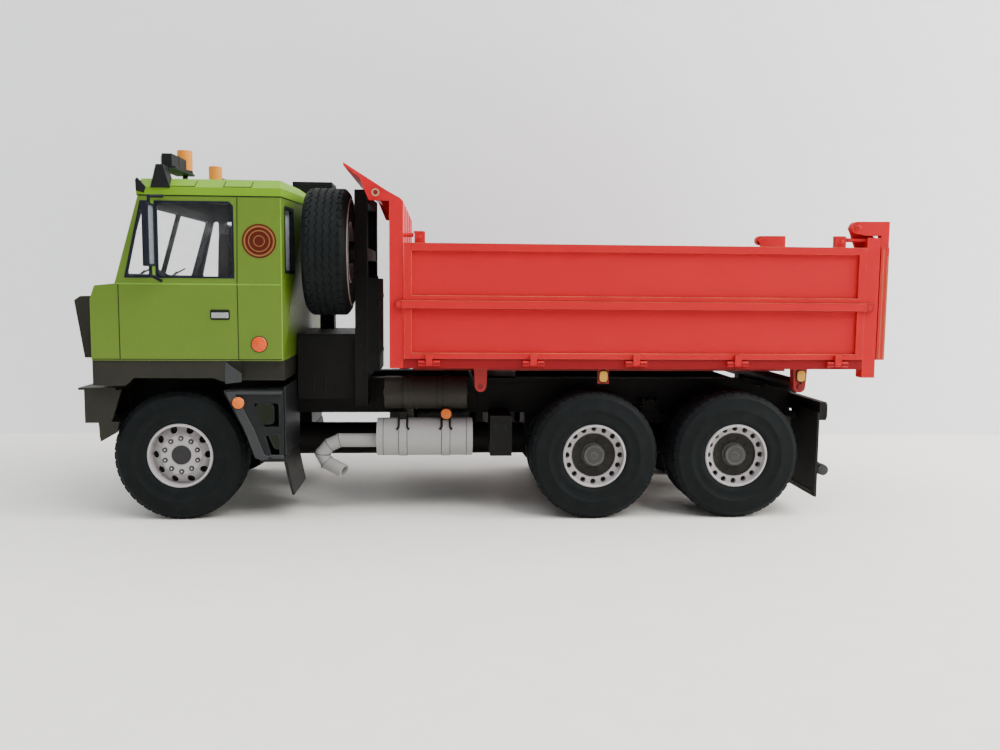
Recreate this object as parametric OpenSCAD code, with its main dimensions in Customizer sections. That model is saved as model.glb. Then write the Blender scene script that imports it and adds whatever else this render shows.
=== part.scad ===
// Card scale model of a three-axle cab-over tipper truck.
// Frame: +X forward, +Y to the truck's left, +Z up, origin on the floor under the middle of the truck.
// Places along the truck are given as s, the distance back from the front axle.

/* [Axles and layout] */
// Front axle to middle axle
wheelbase = 111; // [110:1:135]
// Middle axle to rear axle
bogie = 39.2; // [38:0.2:48]
// Front axle to the foremost face of the grille
front_overhang = 27.8; // [27:0.1:34]
// Rear axle to the end of the frame
rear_overhang = 23.6; // [23.6:0.2:34]

/* [Wheels] */
// Outside diameter of every tyre
tyre_d = 34.8; // [29:0.2:36]
// Hole in the tyre that the rim fills
tyre_bore_d = 17.4; // [16:0.1:18.5]
// Width of a front tyre
front_tyre_w = 9.2; // [8:0.1:10]
// Width of each rear tyre of a pair
rear_tyre_w = 8.6; // [7.5:0.1:9]
// Width of the spare tyre
spare_tyre_w = 12.2; // [9:0.1:12.6]
// Gap between the two tyres of a pair
twin_gap = 1.2; // [0.8:0.1:2]
// Outer face of the front tyres, from the middle of the truck
front_face_y = 35.3; // [34:0.1:38]
// Outer face of the outer rear tyres, from the middle of the truck
rear_face_y = 38; // [37.5:0.1:45]
// Diameter of the pin that each wheel turns on
wheel_pin_d = 2.8; // [2:0.1:3.4]
// Radial clearance of a turning fit
fit = 0.05; // [0.02:0.01:0.1]

/* [Frame] */
// Width over the two frame rails
frame_w = 28; // [26:0.5:30]
// Height of a frame rail
rail_h = 10.1; // [8:0.1:12.5]
// Width of a rail flange
rail_flange = 4.5; // [3:0.1:5.5]
// Thickness of the rail's card
rail_t = 1; // [0.8:0.1:1.4]
// Diameter of the backbone tube
tube_d = 9.6; // [8:0.1:10.4]

/* [Cab] */
// Width of the cab
cab_w = 76.6; // [72:0.2:92]
// Length of the cab from its front panel to its back wall
cab_l = 51.2; // [49:0.1:54]
// Thickness of the cab walls
cab_wall = 1; // [0.8:0.1:1.4]
// Cab floor to the waist line
waist_h = 19.8; // [17:0.1:24]
// Waist line to the gutter under the roof
window_h = 22.5; // [20:0.1:27]
// Height of the roof above the gutter
roof_h = 4.6; // [4:0.1:6]

/* [Bed] */
// Width of the bed
bed_w = 78; // [74:0.2:94]
// Height of the side boards
board_h = 30.2; // [26:0.2:37]
// Thickness of the bed's plates
bed_t = 1; // [0.8:0.1:1.2]
// Diameter of the side board hinge pins
hinge_pin_d = 0.8; // [0.6:0.1:0.9]
// Diameter of the tipping pins
tip_pin_d = 1.6; // [1.4:0.1:2]

/* [Hidden] */
$fn = 48;

// Gaps between pieces that only lie against each other
seat_gap = 0.05;
move_gap = 0.3;

// Heights
axle_z = tyre_d / 2;
tube_z = axle_z - 1;
rail_z = tyre_d - 8.6;
rail_top = rail_z + rail_h;
cab_z = rail_top + 6.9;
waist_z = cab_z + waist_h;
eaves_z = waist_z + window_h;
roof_z = eaves_z + roof_h;
sill_z = rail_top + 5.1;
sill_h = 2.4;
floor_z = sill_z + 0.8;
board_z = sill_z + sill_h + 0.2;
board_top = board_z + board_h;

// Places back from the front axle
mid_s = wheelbase;
rear_s = wheelbase + bogie;
frame_front_s = 8.8 - front_overhang;
frame_end_s = rear_s + rear_overhang;
grille_d = 7.1;
cab_front_s = grille_d - front_overhang;
cab_back_s = cab_front_s + cab_l;
spare_s = cab_back_s + 1.9;
carrier_s = spare_s + spare_tyre_w + 0.7;
carrier_t = 3.5;
bed_front_s = carrier_s + carrier_t + 7;
post_t = 3.6;
bed_rear_s = frame_end_s + 13.5;
rear_post_t = 3.6;
board_front_s = bed_front_s + post_t + 0.2;
board_rear_s = bed_rear_s - rear_post_t - 0.2;
gate_s = bed_rear_s + move_gap;
gate_t = 2.2;
front_x = (front_overhang + gate_s + gate_t) / 2 - front_overhang;

// The tipping hinge at the back of the frame
tip_s = frame_end_s - 6.4;
tip_z = rail_top + 0.1;
tip_arm_y = bed_w / 2 - 3.4;
tip_arm_t = 2.6;

// The side boards' bottom hinges and the tailgate's top hinge
knuckle_d = 1.5;
hinge_y = bed_w / 2 + knuckle_d / 2 + 0.1;
hinge_z = sill_z + 1.4;
gate_pin_s = bed_rear_s - 6.4;
gate_pin_z = board_top + 5.4;

function at(s) = front_x - s;

// A box from s0 back to s1, y0 to y1 and z0 to z1
module slab(s0, s1, y0, y1, z0, z1) {
    translate([at(s1), y0, z0]) cube([s1 - s0, y1 - y0, z1 - z0]);
}

// A plate whose outline is given as [s, z] points, from y0 to y1
module side_plate(points, y0, y1) {
    translate([0, y1, 0])
        rotate([90, 0, 0])
            linear_extrude(y1 - y0) polygon([for (p = points) [at(p[0]), p[1]]]);
}

// A plate whose outline is given as [s, y] points, from z0 to z1
module plan_plate(points, z0, z1) {
    translate([0, 0, z0])
        linear_extrude(z1 - z0) polygon([for (p = points) [at(p[0]), p[1]]]);
}

// A round bar along Y from y0 to y1
module cross_bar(s, z, d, y0, y1) {
    translate([at(s), y0, z]) rotate([-90, 0, 0]) cylinder(h = y1 - y0, d = d);
}

// A round bar along X from s0 back to s1
module long_bar(s0, s1, y, z, d) {
    translate([at(s1), y, z]) rotate([0, 90, 0]) cylinder(h = s1 - s0, d = d);
}

// A round rod between two points given as [s, y, z]
module rod(a, b, d) {
    dx = a[0] - b[0];
    dy = b[1] - a[1];
    dz = b[2] - a[2];
    len = norm([dx, dy, dz]);
    translate([at(a[0]), a[1], a[2]])
        rotate([0, acos(dz / len), atan2(dy, dx)]) cylinder(h = len, d = d);
}

module both_sides() {
    children();
    mirror([0, 1, 0]) children();
}

// ---- Wheels ----

module tyre_form(w) {
    r = tyre_d / 2;
    rb = tyre_bore_d / 2;
    rotate_extrude($fn = 96)
        polygon([[rb, 0.6], [rb + 1.6, 0.2], [r - 5, 0], [r - 1.8, 0.5], [r - 0.5, 1.4], [r, 2.6],
                 [r, w - 2.6], [r - 0.5, w - 1.4], [r - 1.8, w - 0.5], [r - 5, w], [rb + 1.6, w - 0.2],
                 [rb, w - 0.6]]);
}

// A tyre on an axle along Y: y0 is its inner face, and its outer face is further out
module tyre_at(s, y0, w) {
    translate([at(s), y0, axle_z]) rotate([-90, 0, 0]) tyre_form(w);
}

rim_r = tyre_bore_d / 2 - 0.03;
rim_barrel_t = 0.65;

// A dished rim with hand holes in its cone: z = 0 is its inner edge and z = w its outer lip
module front_rim_form(w) {
    hub_face = w - 2;
    cone_foot = w - 4;
    pin_r = wheel_pin_d / 2 + fit;
    difference() {
        union() {
            rotate_extrude($fn = 96)
                polygon([[rim_r - rim_barrel_t, 0.7], [rim_r, 0.7], [rim_r, w - 0.7],
                         [rim_r - 0.3, w - 0.3], [rim_r - rim_barrel_t, w - 0.3]]);
            rotate_extrude($fn = 96)
                polygon([[0, hub_face], [5.8, hub_face], [rim_r - 0.4, cone_foot],
                         [rim_r - 0.4, cone_foot - 0.7], [5.4, hub_face - 0.8], [0, hub_face - 0.8]]);
            translate([0, 0, 0.4]) cylinder(h = hub_face - 0.6, r = pin_r + 1.6);
        }
        translate([0, 0, -1]) cylinder(h = hub_face, r = pin_r);
        for (i = [0:9])
            rotate([0, 0, i * 36])
                translate([6.9, 0, cone_foot - 2]) cylinder(h = 5, r = 1, $fn = 24);
    }
}

// The deep rim of a twin wheel: z = 0 is its inner edge and z = w its outer lip
module rear_rim_form(w) {
    ring_z = w - 2.6;
    drum_z = w - 3.4;
    pin_r = wheel_pin_d / 2 + fit;
    difference() {
        union() {
            rotate_extrude($fn = 96)
                polygon([[rim_r - rim_barrel_t, 0.7], [rim_r, 0.7], [rim_r, w - 0.7],
                         [rim_r - 0.3, w - 0.3], [rim_r - rim_barrel_t, w - 0.3]]);
            rotate_extrude($fn = 96)
                polygon([[0, drum_z], [6, drum_z], [6, ring_z], [rim_r - 0.4, ring_z],
                         [rim_r - 0.4, ring_z - 0.7], [6.6, ring_z - 0.7], [6.6, drum_z - 0.9],
                         [0, drum_z - 0.9]]);
            translate([0, 0, drum_z - 0.2]) cylinder(h = 2.2, r = 2.8);
            translate([0, 0, 0.4]) cylinder(h = drum_z - 0.8, r = pin_r + 2);
        }
        translate([0, 0, -1]) cylinder(h = drum_z + 0.8, r = pin_r);
        for (i = [0:15])
            rotate([0, 0, i * 22.5])
                translate([7.3, 0, ring_z - 1.4]) cylinder(h = 2, r = 0.62, $fn = 24);
    }
}

front_in_y = front_face_y - front_tyre_w;
twin_w = 2 * rear_tyre_w + twin_gap;
rear_in_y = rear_face_y - twin_w;

module front_tyre() {
    color([0.11, 0.12, 0.12]) tyre_at(0, front_in_y, front_tyre_w);
}

module front_rim() {
    color([0.74, 0.72, 0.7])
        translate([at(0), front_in_y, axle_z]) rotate([-90, 0, 0]) front_rim_form(front_tyre_w);
}

module twin_tyres(s) {
    color([0.11, 0.12, 0.12]) {
        tyre_at(s, rear_in_y, rear_tyre_w);
        tyre_at(s, rear_in_y + rear_tyre_w + twin_gap, rear_tyre_w);
    }
}

module twin_rim(s) {
    color([0.74, 0.72, 0.7])
        translate([at(s), rear_in_y, axle_z]) rotate([-90, 0, 0]) rear_rim_form(twin_w);
}

module tyre_front_left() { front_tyre(); }
module tyre_front_right() { mirror([0, 1, 0]) front_tyre(); }
module rim_front_left() { front_rim(); }
module rim_front_right() { mirror([0, 1, 0]) front_rim(); }
module tyres_mid_left() { twin_tyres(mid_s); }
module tyres_mid_right() { mirror([0, 1, 0]) twin_tyres(mid_s); }
module rim_mid_left() { twin_rim(mid_s); }
module rim_mid_right() { mirror([0, 1, 0]) twin_rim(mid_s); }
module tyres_rear_left() { twin_tyres(rear_s); }
module tyres_rear_right() { mirror([0, 1, 0]) twin_tyres(rear_s); }
module rim_rear_left() { twin_rim(rear_s); }
module rim_rear_right() { mirror([0, 1, 0]) twin_rim(rear_s); }

// ---- Axles, backbone and frame ----

housing_l = 13;
housing_d = 13.4;
half_axle_d = 5;
backplate_t = 1.4;
axle_gap = 0.6;
knuckle_h = 7.2;

// A swing axle: housing on the backbone, half axles, knuckles, back plates and wheel pins
module axle(s, inner_y, pin_y) {
    plate_y = inner_y - axle_gap;
    knuckle_t = 3;
    long_bar(s - housing_l / 2, s + housing_l / 2, 0, tube_z, housing_d);
    both_sides() {
        cross_bar(s, axle_z, half_axle_d, 0, plate_y - backplate_t);
        slab(s - 3.2, s + 3.2, plate_y - backplate_t - knuckle_t, plate_y - backplate_t,
             axle_z - knuckle_h / 2, axle_z + knuckle_h / 2);
        cross_bar(s, axle_z, 12.4, plate_y - backplate_t, plate_y);
        cross_bar(s, axle_z, wheel_pin_d, plate_y - 0.5, pin_y);
    }
}

module front_axle() {
    color([0.16, 0.15, 0.14]) axle(0, front_in_y, front_face_y - 3.6);
}

module mid_axle() {
    color([0.16, 0.15, 0.14]) axle(mid_s, rear_in_y, rear_face_y - 4.6);
}

module rear_axle() {
    color([0.16, 0.15, 0.14]) axle(rear_s, rear_in_y, rear_face_y - 4.6);
}

module backbone_tube() {
    half = housing_l / 2;
    color([0.15, 0.14, 0.13]) {
        long_bar(frame_front_s + 4, -half, 0, tube_z, tube_d);
        long_bar(half, mid_s - half, 0, tube_z, tube_d);
        long_bar(mid_s + half, rear_s - half, 0, tube_z, tube_d);
        long_bar(rear_s + half, frame_end_s - 6, 0, tube_z, tube_d);
    }
}

// The rails' top drops behind the rear wheels to leave room for the tipping shaft
drop_s0 = tip_s - 10.4;
drop_s1 = tip_s - 2.8;
drop_h = 2.4;

module frame_rail() {
    y1 = frame_w / 2;
    outline = [[frame_front_s, rail_z], [frame_front_s, rail_top], [drop_s0, rail_top],
               [drop_s1, rail_top - drop_h], [frame_end_s, rail_top - drop_h], [frame_end_s, rail_z]];
    window = [[frame_front_s - 1, rail_z + rail_t], [frame_front_s - 1, rail_top - rail_t],
              [drop_s0, rail_top - rail_t], [drop_s1, rail_top - drop_h - rail_t],
              [frame_end_s + 1, rail_top - drop_h - rail_t], [frame_end_s + 1, rail_z + rail_t]];
    color([0.15, 0.14, 0.13])
        difference() {
            side_plate(outline, y1 - rail_flange, y1);
            side_plate(window, y1 - rail_flange - 1, y1 - rail_t);
        }
}

module frame_rail_left() { frame_rail(); }
module frame_rail_right() { mirror([0, 1, 0]) frame_rail(); }

// Saddles that carry the rails on the backbone tube
module cross_members() {
    half_w = frame_w / 2 - rail_t;
    places = [frame_front_s + 7, 12, bed_front_s + 4, mid_s - 15, mid_s + bogie / 2, frame_end_s - 7];
    color([0.17, 0.16, 0.15])
        for (s = places)
            difference() {
                slab(s - 1.5, s + 1.5, -half_w, half_w, tube_z, rail_top - drop_h - rail_t - 0.6);
                both_sides() slab(s - 2, s + 2, half_w - rail_flange - 0.4, half_w + 1,
                                  tube_z - 1, rail_z + rail_t + 0.1);
                long_bar(s - 2, s + 2, 0, tube_z, tube_d + 2 * seat_gap);
            }
}

// Leaf packs that bear on the two rear axles and rock on a boss on each rail
module rear_springs() {
    y0 = frame_w / 2;
    spring_w = 2.8;
    mid = mid_s + bogie / 2;
    seat_z = axle_z + knuckle_h / 2 + seat_gap;
    half = bogie / 2;
    color([0.14, 0.13, 0.12])
        both_sides() {
            side_plate([[mid - half - 2, seat_z], [mid - half - 2, seat_z + 0.8], [mid - 8, seat_z + 4.2],
                        [mid - 3, seat_z + 5.4], [mid + 3, seat_z + 5.4], [mid + 8, seat_z + 4.2],
                        [mid + half + 2, seat_z + 0.8], [mid + half + 2, seat_z], [mid + half - 3, seat_z],
                        [mid + 3, seat_z + 2.6], [mid - 3, seat_z + 2.6], [mid - half + 3, seat_z]],
                       y0 + 0.6, y0 + 0.6 + spring_w);
            cross_bar(mid, rail_z + 1.6, 5.2, y0, y0 + 0.6 + spring_w);
        }
}

// ---- Cab ----

// The back wall leans back by corner_s, and is angled in plan from the sides to corner_y further in
corner_s = 2.4;
corner_y = 24;
cab_foot_s = cab_back_s - corner_s;
screen_base_s = cab_front_s + 6.3;
screen_top_s = cab_front_s + 12.8;

// The cab's side outline, drawn in by t on every face
function cab_side(t, top) = [
    [cab_front_s + t, cab_z + t], [cab_front_s + t, waist_z - 3.9 - t / 4],
    [cab_front_s + 1.2 + t * 0.8, waist_z - 0.5 - t * 0.8],
    [screen_base_s + t * 0.7, waist_z - t * 0.8], [screen_top_s + t, top],
    [cab_back_s - t, top], [cab_foot_s - t, cab_z + t]];

// The cab's plan with its angled back, drawn in by t on every face
function cab_plan(t, front) = [
    [front, cab_w / 2 - t], [cab_foot_s - t * 0.9, cab_w / 2 - t],
    [cab_back_s - t, cab_w / 2 - corner_y], [cab_back_s - t, -cab_w / 2 + corner_y],
    [cab_foot_s - t * 0.9, -cab_w / 2 + t], [front, -cab_w / 2 + t]];

module cab_form(t, top) {
    intersection() {
        side_plate(cab_side(t, top), -cab_w / 2 + t, cab_w / 2 - t);
        plan_plate(cab_plan(t, cab_front_s - 2), cab_z - 1, top + 1);
    }
}

// Window places on the cab side
win_z0 = waist_z + 1.7;
win_z1 = eaves_z - 1.5;
vent_front = screen_base_s + 2.7;
vent_top_front = screen_top_s + 0.6;
win_divider_s = screen_top_s + 3.5;
win_divider_t = 1.4;
win_rear_s = screen_top_s + 23.7;
corner_cut = 1;

// The little front window: its front edge runs along the windscreen pillar
module vent_window(y0, y1, grow) {
    side_plate([[vent_front - grow, win_z0 - grow], [vent_top_front - grow, win_z1 + grow],
                [win_divider_s - win_divider_t / 2 + grow, win_z1 + grow],
                [win_divider_s - win_divider_t / 2 + grow, win_z0 - grow]],
               y0, y1);
}

module door_window(y0, y1, grow) {
    side_plate([[win_divider_s + win_divider_t / 2 - grow, win_z0 - grow],
                [win_divider_s + win_divider_t / 2 - grow, win_z1 + grow],
                [win_rear_s - corner_cut + grow, win_z1 + grow],
                [win_rear_s + grow, win_z1 - corner_cut + grow], [win_rear_s + grow, win_z0 - grow]],
               y0, y1);
}

// The back window near each corner, as a board lying in the angled back wall's plane
module corner_window(depth0, depth1, grow) {
    angle = atan2(corner_y, corner_s);
    place = 0.32;
    width = 8.5;
    translate([at(cab_foot_s + corner_s * place), cab_w / 2 - corner_y * place, 0])
        rotate([0, 0, angle])
            translate([-width / 2 - grow, depth0, waist_z + 3.4 - grow])
                cube([width + 2 * grow, depth1 - depth0, window_h - 5.9 + 2 * grow]);
}

screen_y = cab_w / 2 - 3.8;
screen_bar = 0.6;

// Both windscreen halves, as boards along the sloping front between depths s0 and s1 behind it
module screen_board(s0, s1, y0, y1, grow) {
    lean = (screen_top_s - screen_base_s) / window_h;
    z0 = waist_z + 2.2 - grow;
    z1 = eaves_z - 2 + grow;
    d0 = screen_base_s + (z0 - waist_z) * lean;
    d1 = screen_base_s + (z1 - waist_z) * lean;
    side_plate([[d0 + s0, z0], [d1 + s0, z1], [d1 + s1, z1], [d0 + s1, z0]], y0, y1);
}

module cab_shell() {
    color([0.45, 0.58, 0.22])
        difference() {
            cab_form(0, eaves_z);
            cab_form(cab_wall, eaves_z + 0.5);
            both_sides() {
                vent_window(cab_w / 2 - 2, cab_w / 2 + 1, 0);
                door_window(cab_w / 2 - 2, cab_w / 2 + 1, 0);
                corner_window(-3, 2, 0);
                screen_board(-2, 3, screen_bar, screen_y, 0);
            }
        }
}

glass_t = 0.3;

module side_glass() {
    y = cab_w / 2 - cab_wall - seat_gap;
    color([0.8, 0.85, 0.88, 0.4])
        both_sides() side_plate([[vent_front - 0.3, win_z0 - 0.6], [vent_top_front + 0.2, win_z1 + 0.6],
                                 [win_rear_s + 0.6, win_z1 + 0.6], [win_rear_s + 0.6, win_z0 - 0.6]],
                                y - glass_t, y);
}

module windscreen() {
    back = cab_wall * 1.05 + seat_gap;
    color([0.8, 0.85, 0.88, 0.4])
        screen_board(back, back + glass_t, -screen_y - 0.5, screen_y + 0.5, 0.5);
}

module rear_glass() {
    color([0.8, 0.85, 0.88, 0.4])
        both_sides() corner_window(-cab_wall - glass_t - seat_gap, -cab_wall - seat_gap, 0.5);
}

// The roof cap, drawn in by t: upright edge, then a bevel up to the flat top
module roof_form(t) {
    edge_h = 2.2;
    s0 = screen_top_s - 0.4 + t;
    y1 = cab_w / 2 - 4.1 - t / 2;
    hull() {
        plan_plate(cab_plan(t, s0), eaves_z - (t > 0 ? 1 : 0), eaves_z + edge_h - t / 3);
        plan_plate([[s0 + 0.3, y1], [cab_foot_s - 0.8 - t / 2, y1], [cab_back_s - 1.6 - t / 2, y1 - corner_y + 2],
                    [cab_back_s - 1.6 - t / 2, corner_y - 2 - y1], [cab_foot_s - 0.8 - t / 2, -y1],
                    [s0 + 0.3, -y1]],
                   roof_z - 0.1 - t, roof_z - t);
    }
}

module cab_roof() {
    color([0.58, 0.74, 0.34])
        difference() {
            roof_form(0);
            roof_form(cab_wall);
        }
}

// Dark valance under the cab, cut out over the front wheels
skirt_z = cab_z - 6.6;
arch_z = cab_z - 4.6;
skirt_t = 1.2;
skirt_in_s = 13.2;

module cab_skirt() {
    y1 = cab_w / 2 - 0.3;
    y2 = y1 - 2.4;
    back_s = cab_foot_s - 0.2;
    outer = [[cab_front_s, y1], [skirt_in_s, y1], [skirt_in_s + 3.4, y2], [back_s, y2],
             [back_s, -y2], [skirt_in_s + 3.4, -y2], [skirt_in_s, -y1], [cab_front_s, -y1]];
    inner = [[cab_front_s + skirt_t, y1 - skirt_t], [skirt_in_s - 0.5, y1 - skirt_t],
             [skirt_in_s + 2.9, y2 - skirt_t], [back_s - skirt_t, y2 - skirt_t],
             [back_s - skirt_t, -y2 + skirt_t], [skirt_in_s + 2.9, -y2 + skirt_t],
             [skirt_in_s - 0.5, -y1 + skirt_t], [cab_front_s + skirt_t, -y1 + skirt_t]];
    color([0.24, 0.23, 0.21])
        difference() {
            plan_plate(outer, skirt_z, cab_z);
            plan_plate(inner, skirt_z - 1, cab_z + 1);
            side_plate([[-12.6, skirt_z - 1], [-12.6, skirt_z], [-10.4, arch_z], [10.2, arch_z],
                        [12, skirt_z + 1.2], [back_s + 1, skirt_z + 1.2], [back_s + 1, skirt_z - 1]],
                       -cab_w, cab_w);
        }
}

grille_y = 30;

module grille() {
    top_z = cab_z + 16.4;
    s1 = cab_front_s;
    s0 = s1 - grille_d;
    color([0.24, 0.23, 0.21])
        side_plate([[s1, top_z], [s0 + 1.6, top_z], [s0, top_z - 1.1], [s0 + 2.3, cab_z], [s1, cab_z]],
                   -grille_y, grille_y);
}

module bumper() {
    y1 = cab_w / 2 - 2.3;
    s0 = cab_front_s - 3.1;
    z1 = rail_top - 1.1;
    z0 = z1 - 8.7;
    t = 1;
    flange_s1 = s0 + 8;
    end_outline = [[s0, z1], [s0 + 9.4, z1], [s0 + 6.6, z0], [s0, z0]];
    wing_outline = [[s0 + 3.4, z0 + 0.2], [s0 + 3.8, z0 - 5], [s0 + 8, z0 - 2.6], [s0 + 8.6, z0 + 0.2]];
    color([0.22, 0.21, 0.2]) {
        slab(s0 - 1.5, frame_front_s - seat_gap, -y1, y1, z1, z1 + 0.6);
        slab(s0, s0 + t, -y1, y1, z0, z1 + 0.1);
        slab(s0 + 3.4, s0 + 3.4 + t, -y1 + 0.5, y1 - 0.5, z0 - 4, z0 + 0.1);
        slab(s0, s0 + 4.4, -y1, y1, z0, z0 + 0.6);
        both_sides() {
            side_plate(end_outline, y1 - t, y1);
            slab(s0, flange_s1, frame_w / 2 + 0.1, y1, z1, z1 + 0.6);
            side_plate(wing_outline, y1 - t, y1);
            slab(s0 + 0.5, frame_front_s, frame_w / 2 - rail_flange, frame_w / 2, rail_z + 1, z1 + 0.1);
        }
    }
}

module dashboard() {
    s0 = cab_front_s + cab_wall + 0.1;
    z1 = waist_z - 3;
    y1 = cab_w / 2 - cab_wall - 0.5;
    color([0.2, 0.19, 0.18])
        side_plate([[s0 + 0.4, z1 - 1.2], [s0 + 8, z1], [s0 + 9.6, z1 - 2.4], [s0 + 6.4, z1 - 8], [s0, z1 - 8]],
                   -y1, y1);
}

driver_y = 18;

module steering_wheel() {
    tilt = 35;
    rim_d = 13;
    hub = [cab_front_s + 14.6, waist_z + 0.6];
    color([0.1, 0.1, 0.1])
        translate([at(hub[0]), driver_y, hub[1]])
            rotate([0, -tilt, 0]) {
                rotate_extrude() translate([rim_d / 2 - 0.45, 0]) circle(d = 0.9, $fn = 24);
                for (a = [90, 210, 330])
                    rotate([0, 0, a]) translate([0, -0.35, -0.3]) cube([rim_d / 2 - 0.5, 0.7, 0.6]);
                translate([0, 0, -0.5]) cylinder(h = 1, d = 3);
                translate([0, 0, -5.1]) cylinder(h = 5, d = 1.4);
            }
}

// Two seats on plain pedestals
module seats() {
    s0 = 1;
    color([0.24, 0.2, 0.18])
        for (y = [driver_y, -driver_y]) {
            slab(s0 + 2, s0 + 9, y - 5, y + 5, cab_z + cab_wall, cab_z + 11);
            slab(s0, s0 + 11, y - 7, y + 7, cab_z + 11, cab_z + 14.5);
            side_plate([[s0 + 6.3, cab_z + 14.5], [s0 + 6.3, cab_z + 35.8], [s0 + 9.3, cab_z + 35.8],
                        [s0 + 11, cab_z + 14.5]], y - 6.6, y + 6.6);
        }
}

// A tall mirror on two thin arms
module mirror_arm() {
    s = screen_top_s + 3.9;
    y = cab_w / 2 + 4;
    wall_y = cab_w / 2 + 0.25;
    top = eaves_z - 0.6;
    low = waist_z + 2.2;
    color([0.1, 0.1, 0.11]) {
        rod([s, y, low], [s, y, top], 0.8);
        translate([at(s), y, low]) sphere(d = 1);
        translate([at(s), y, top]) sphere(d = 1);
        rod([s, y, top], [s + 2.3, wall_y, top + 0.4], 0.8);
        rod([s, y, low], [s + 1.5, wall_y, waist_z + 0.8], 0.8);
        slab(s - 0.6, s + 0.6, y - 1.6, y + 4, low + 2.2, top - 1.8);
    }
}

module mirror_left() { mirror_arm(); }
module mirror_right() { mirror([0, 1, 0]) mirror_arm(); }

bar_s = screen_top_s + 5.3;
bar_z = roof_z + 3.2;

beacon_y = 17.5;
bar_y0 = 20.3;
bar_y1 = cab_w / 2 - 4.2;
plate_top = bar_z + 0.1;

// Black lamp boxes over the roof's front corners, each on a plate with a wedge shaped bracket
module roof_light_bars() {
    foot_z = eaves_z + 2.2;
    color([0.14, 0.14, 0.14])
        both_sides() {
            slab(bar_s - 0.3, bar_s + 2.3, bar_y0, bar_y1, bar_z, bar_z + 3.3);
            slab(bar_s - 0.5, bar_s + 3.2, beacon_y - 2.4, bar_y1, bar_z - 0.4, plate_top);
            difference() {
                side_plate([[bar_s - 2, foot_z - 0.3], [bar_s - 0.5, bar_z], [bar_s + 1.2, bar_z],
                            [bar_s + 2.9, foot_z - 0.3]], bar_y1 - 0.6, cab_w / 2 + 0.4);
                translate([0, 0, 0.02]) roof_form(0);
                plan_plate([[bar_s - 4, 0], [bar_s + 4, 0], [bar_s + 4, cab_w / 2 + 0.02],
                            [bar_s - 4, cab_w / 2 + 0.02]], foot_z - 1, foot_z + 0.02);
            }
            translate([at(bar_s + 1.2), beacon_y, roof_z]) cylinder(h = bar_z - 0.3 - roof_z, d = 1.4);
        }
}

module beacons() {
    color([0.93, 0.6, 0.25])
        both_sides() translate([at(bar_s + 1.2), beacon_y, plate_top]) cylinder(h = 6.1, d = 3.9);
}

// ---- Steps and flaps behind the front wheels ----

step_bottom_z = 16.3;
step_front_s = 12.6;
step_back_s = 27.9;

module step() {
    y1 = cab_w / 2 - 0.3;
    y0 = y1 - 10;
    z1 = rail_top - 1;
    color([0.22, 0.22, 0.21])
        difference() {
            union() {
                side_plate([[step_front_s, z1], [step_back_s, z1], [step_back_s, step_bottom_z],
                            [step_front_s + 9.2, step_bottom_z], [step_front_s, z1 - 0.6]], y0, y1);
                slab(step_back_s - 7, step_back_s - 3, frame_w / 2, y0 + 0.1, z1 - 4, z1 - 1);
            }
            side_plate([[step_front_s + 7.6, z1 - 3.4], [step_back_s - 1.2, z1 - 3.4],
                        [step_back_s - 1.2, z1 - 9.6], [step_front_s + 10.4, z1 - 9.6]], y1 - 6, y1 + 1);
            side_plate([[step_front_s + 10.6, z1 - 12], [step_back_s - 1.2, z1 - 12],
                        [step_back_s - 1.2, z1 - 17.2], [step_front_s + 12, z1 - 17.2]], y1 - 6, y1 + 1);
        }
}

module step_left() { step(); }
module step_right() { mirror([0, 1, 0]) step(); }

front_flap_z = 7.4;
rear_flap_z = 5.4;
flap_y0 = 17;
beam_y = 36;

// Plain flaps behind the front steps and behind the rear wheels
module mud_flaps() {
    y1 = cab_w / 2 - 0.3;
    z1 = rail_top - 8.2;
    color([0.16, 0.16, 0.15])
        both_sides() {
            side_plate([[step_back_s, step_bottom_z + 1.4], [step_back_s + 0.6, step_bottom_z + 1.4],
                        [step_back_s + 2.6, front_flap_z], [step_back_s + 2, front_flap_z],
                        [step_back_s, step_bottom_z - 0.4]], flap_y0, y1);
            slab(frame_end_s - 0.6, frame_end_s, flap_y0, beam_y, rear_flap_z, z1 + 1);
            slab(frame_end_s - 2, frame_end_s - 0.5, frame_w / 2, flap_y0 + 4, z1 - 2.6, z1 - 1);
        }
}

// ---- Behind the cab ----

cover_y = 17.8;
cover_top = rail_top + 12.9;

module engine_cover() {
    s0 = cab_foot_s + 0.7;
    s1 = carrier_s + carrier_t;
    rail_y = frame_w / 2 + seat_gap;
    color([0.18, 0.17, 0.16])
        difference() {
            slab(s0, s1, -cover_y, cover_y, rail_top - 5.6, cover_top);
            slab(s0 - 1, s1 + 1, -rail_y, rail_y, rail_top - 7, rail_top);
        }
}

spare_y = 21;
spare_z = roof_z - 0.6 - tyre_d / 2;

module spare_tyre() {
    color([0.11, 0.12, 0.12])
        translate([at(spare_s + spare_tyre_w), spare_y, spare_z]) rotate([0, 90, 0]) tyre_form(spare_tyre_w);
}

module spare_rim() {
    w = spare_tyre_w;
    disc_z = 4;
    color([0.74, 0.72, 0.7])
        translate([at(spare_s + w), spare_y, spare_z]) rotate([0, 90, 0]) {
            rotate_extrude($fn = 96)
                polygon([[0, disc_z], [rim_r - 0.4, disc_z], [rim_r - rim_barrel_t, 0.3],
                         [rim_r - 0.3, 0.3], [rim_r, 0.7], [rim_r, w - 0.7], [rim_r - rim_barrel_t, w - 0.7],
                         [rim_r - rim_barrel_t, disc_z + 0.8], [0, disc_z + 0.8]]);
        }
}

carrier_top = roof_z - 0.7;
carrier_y0 = 18;
carrier_y1 = 21.6;

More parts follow.
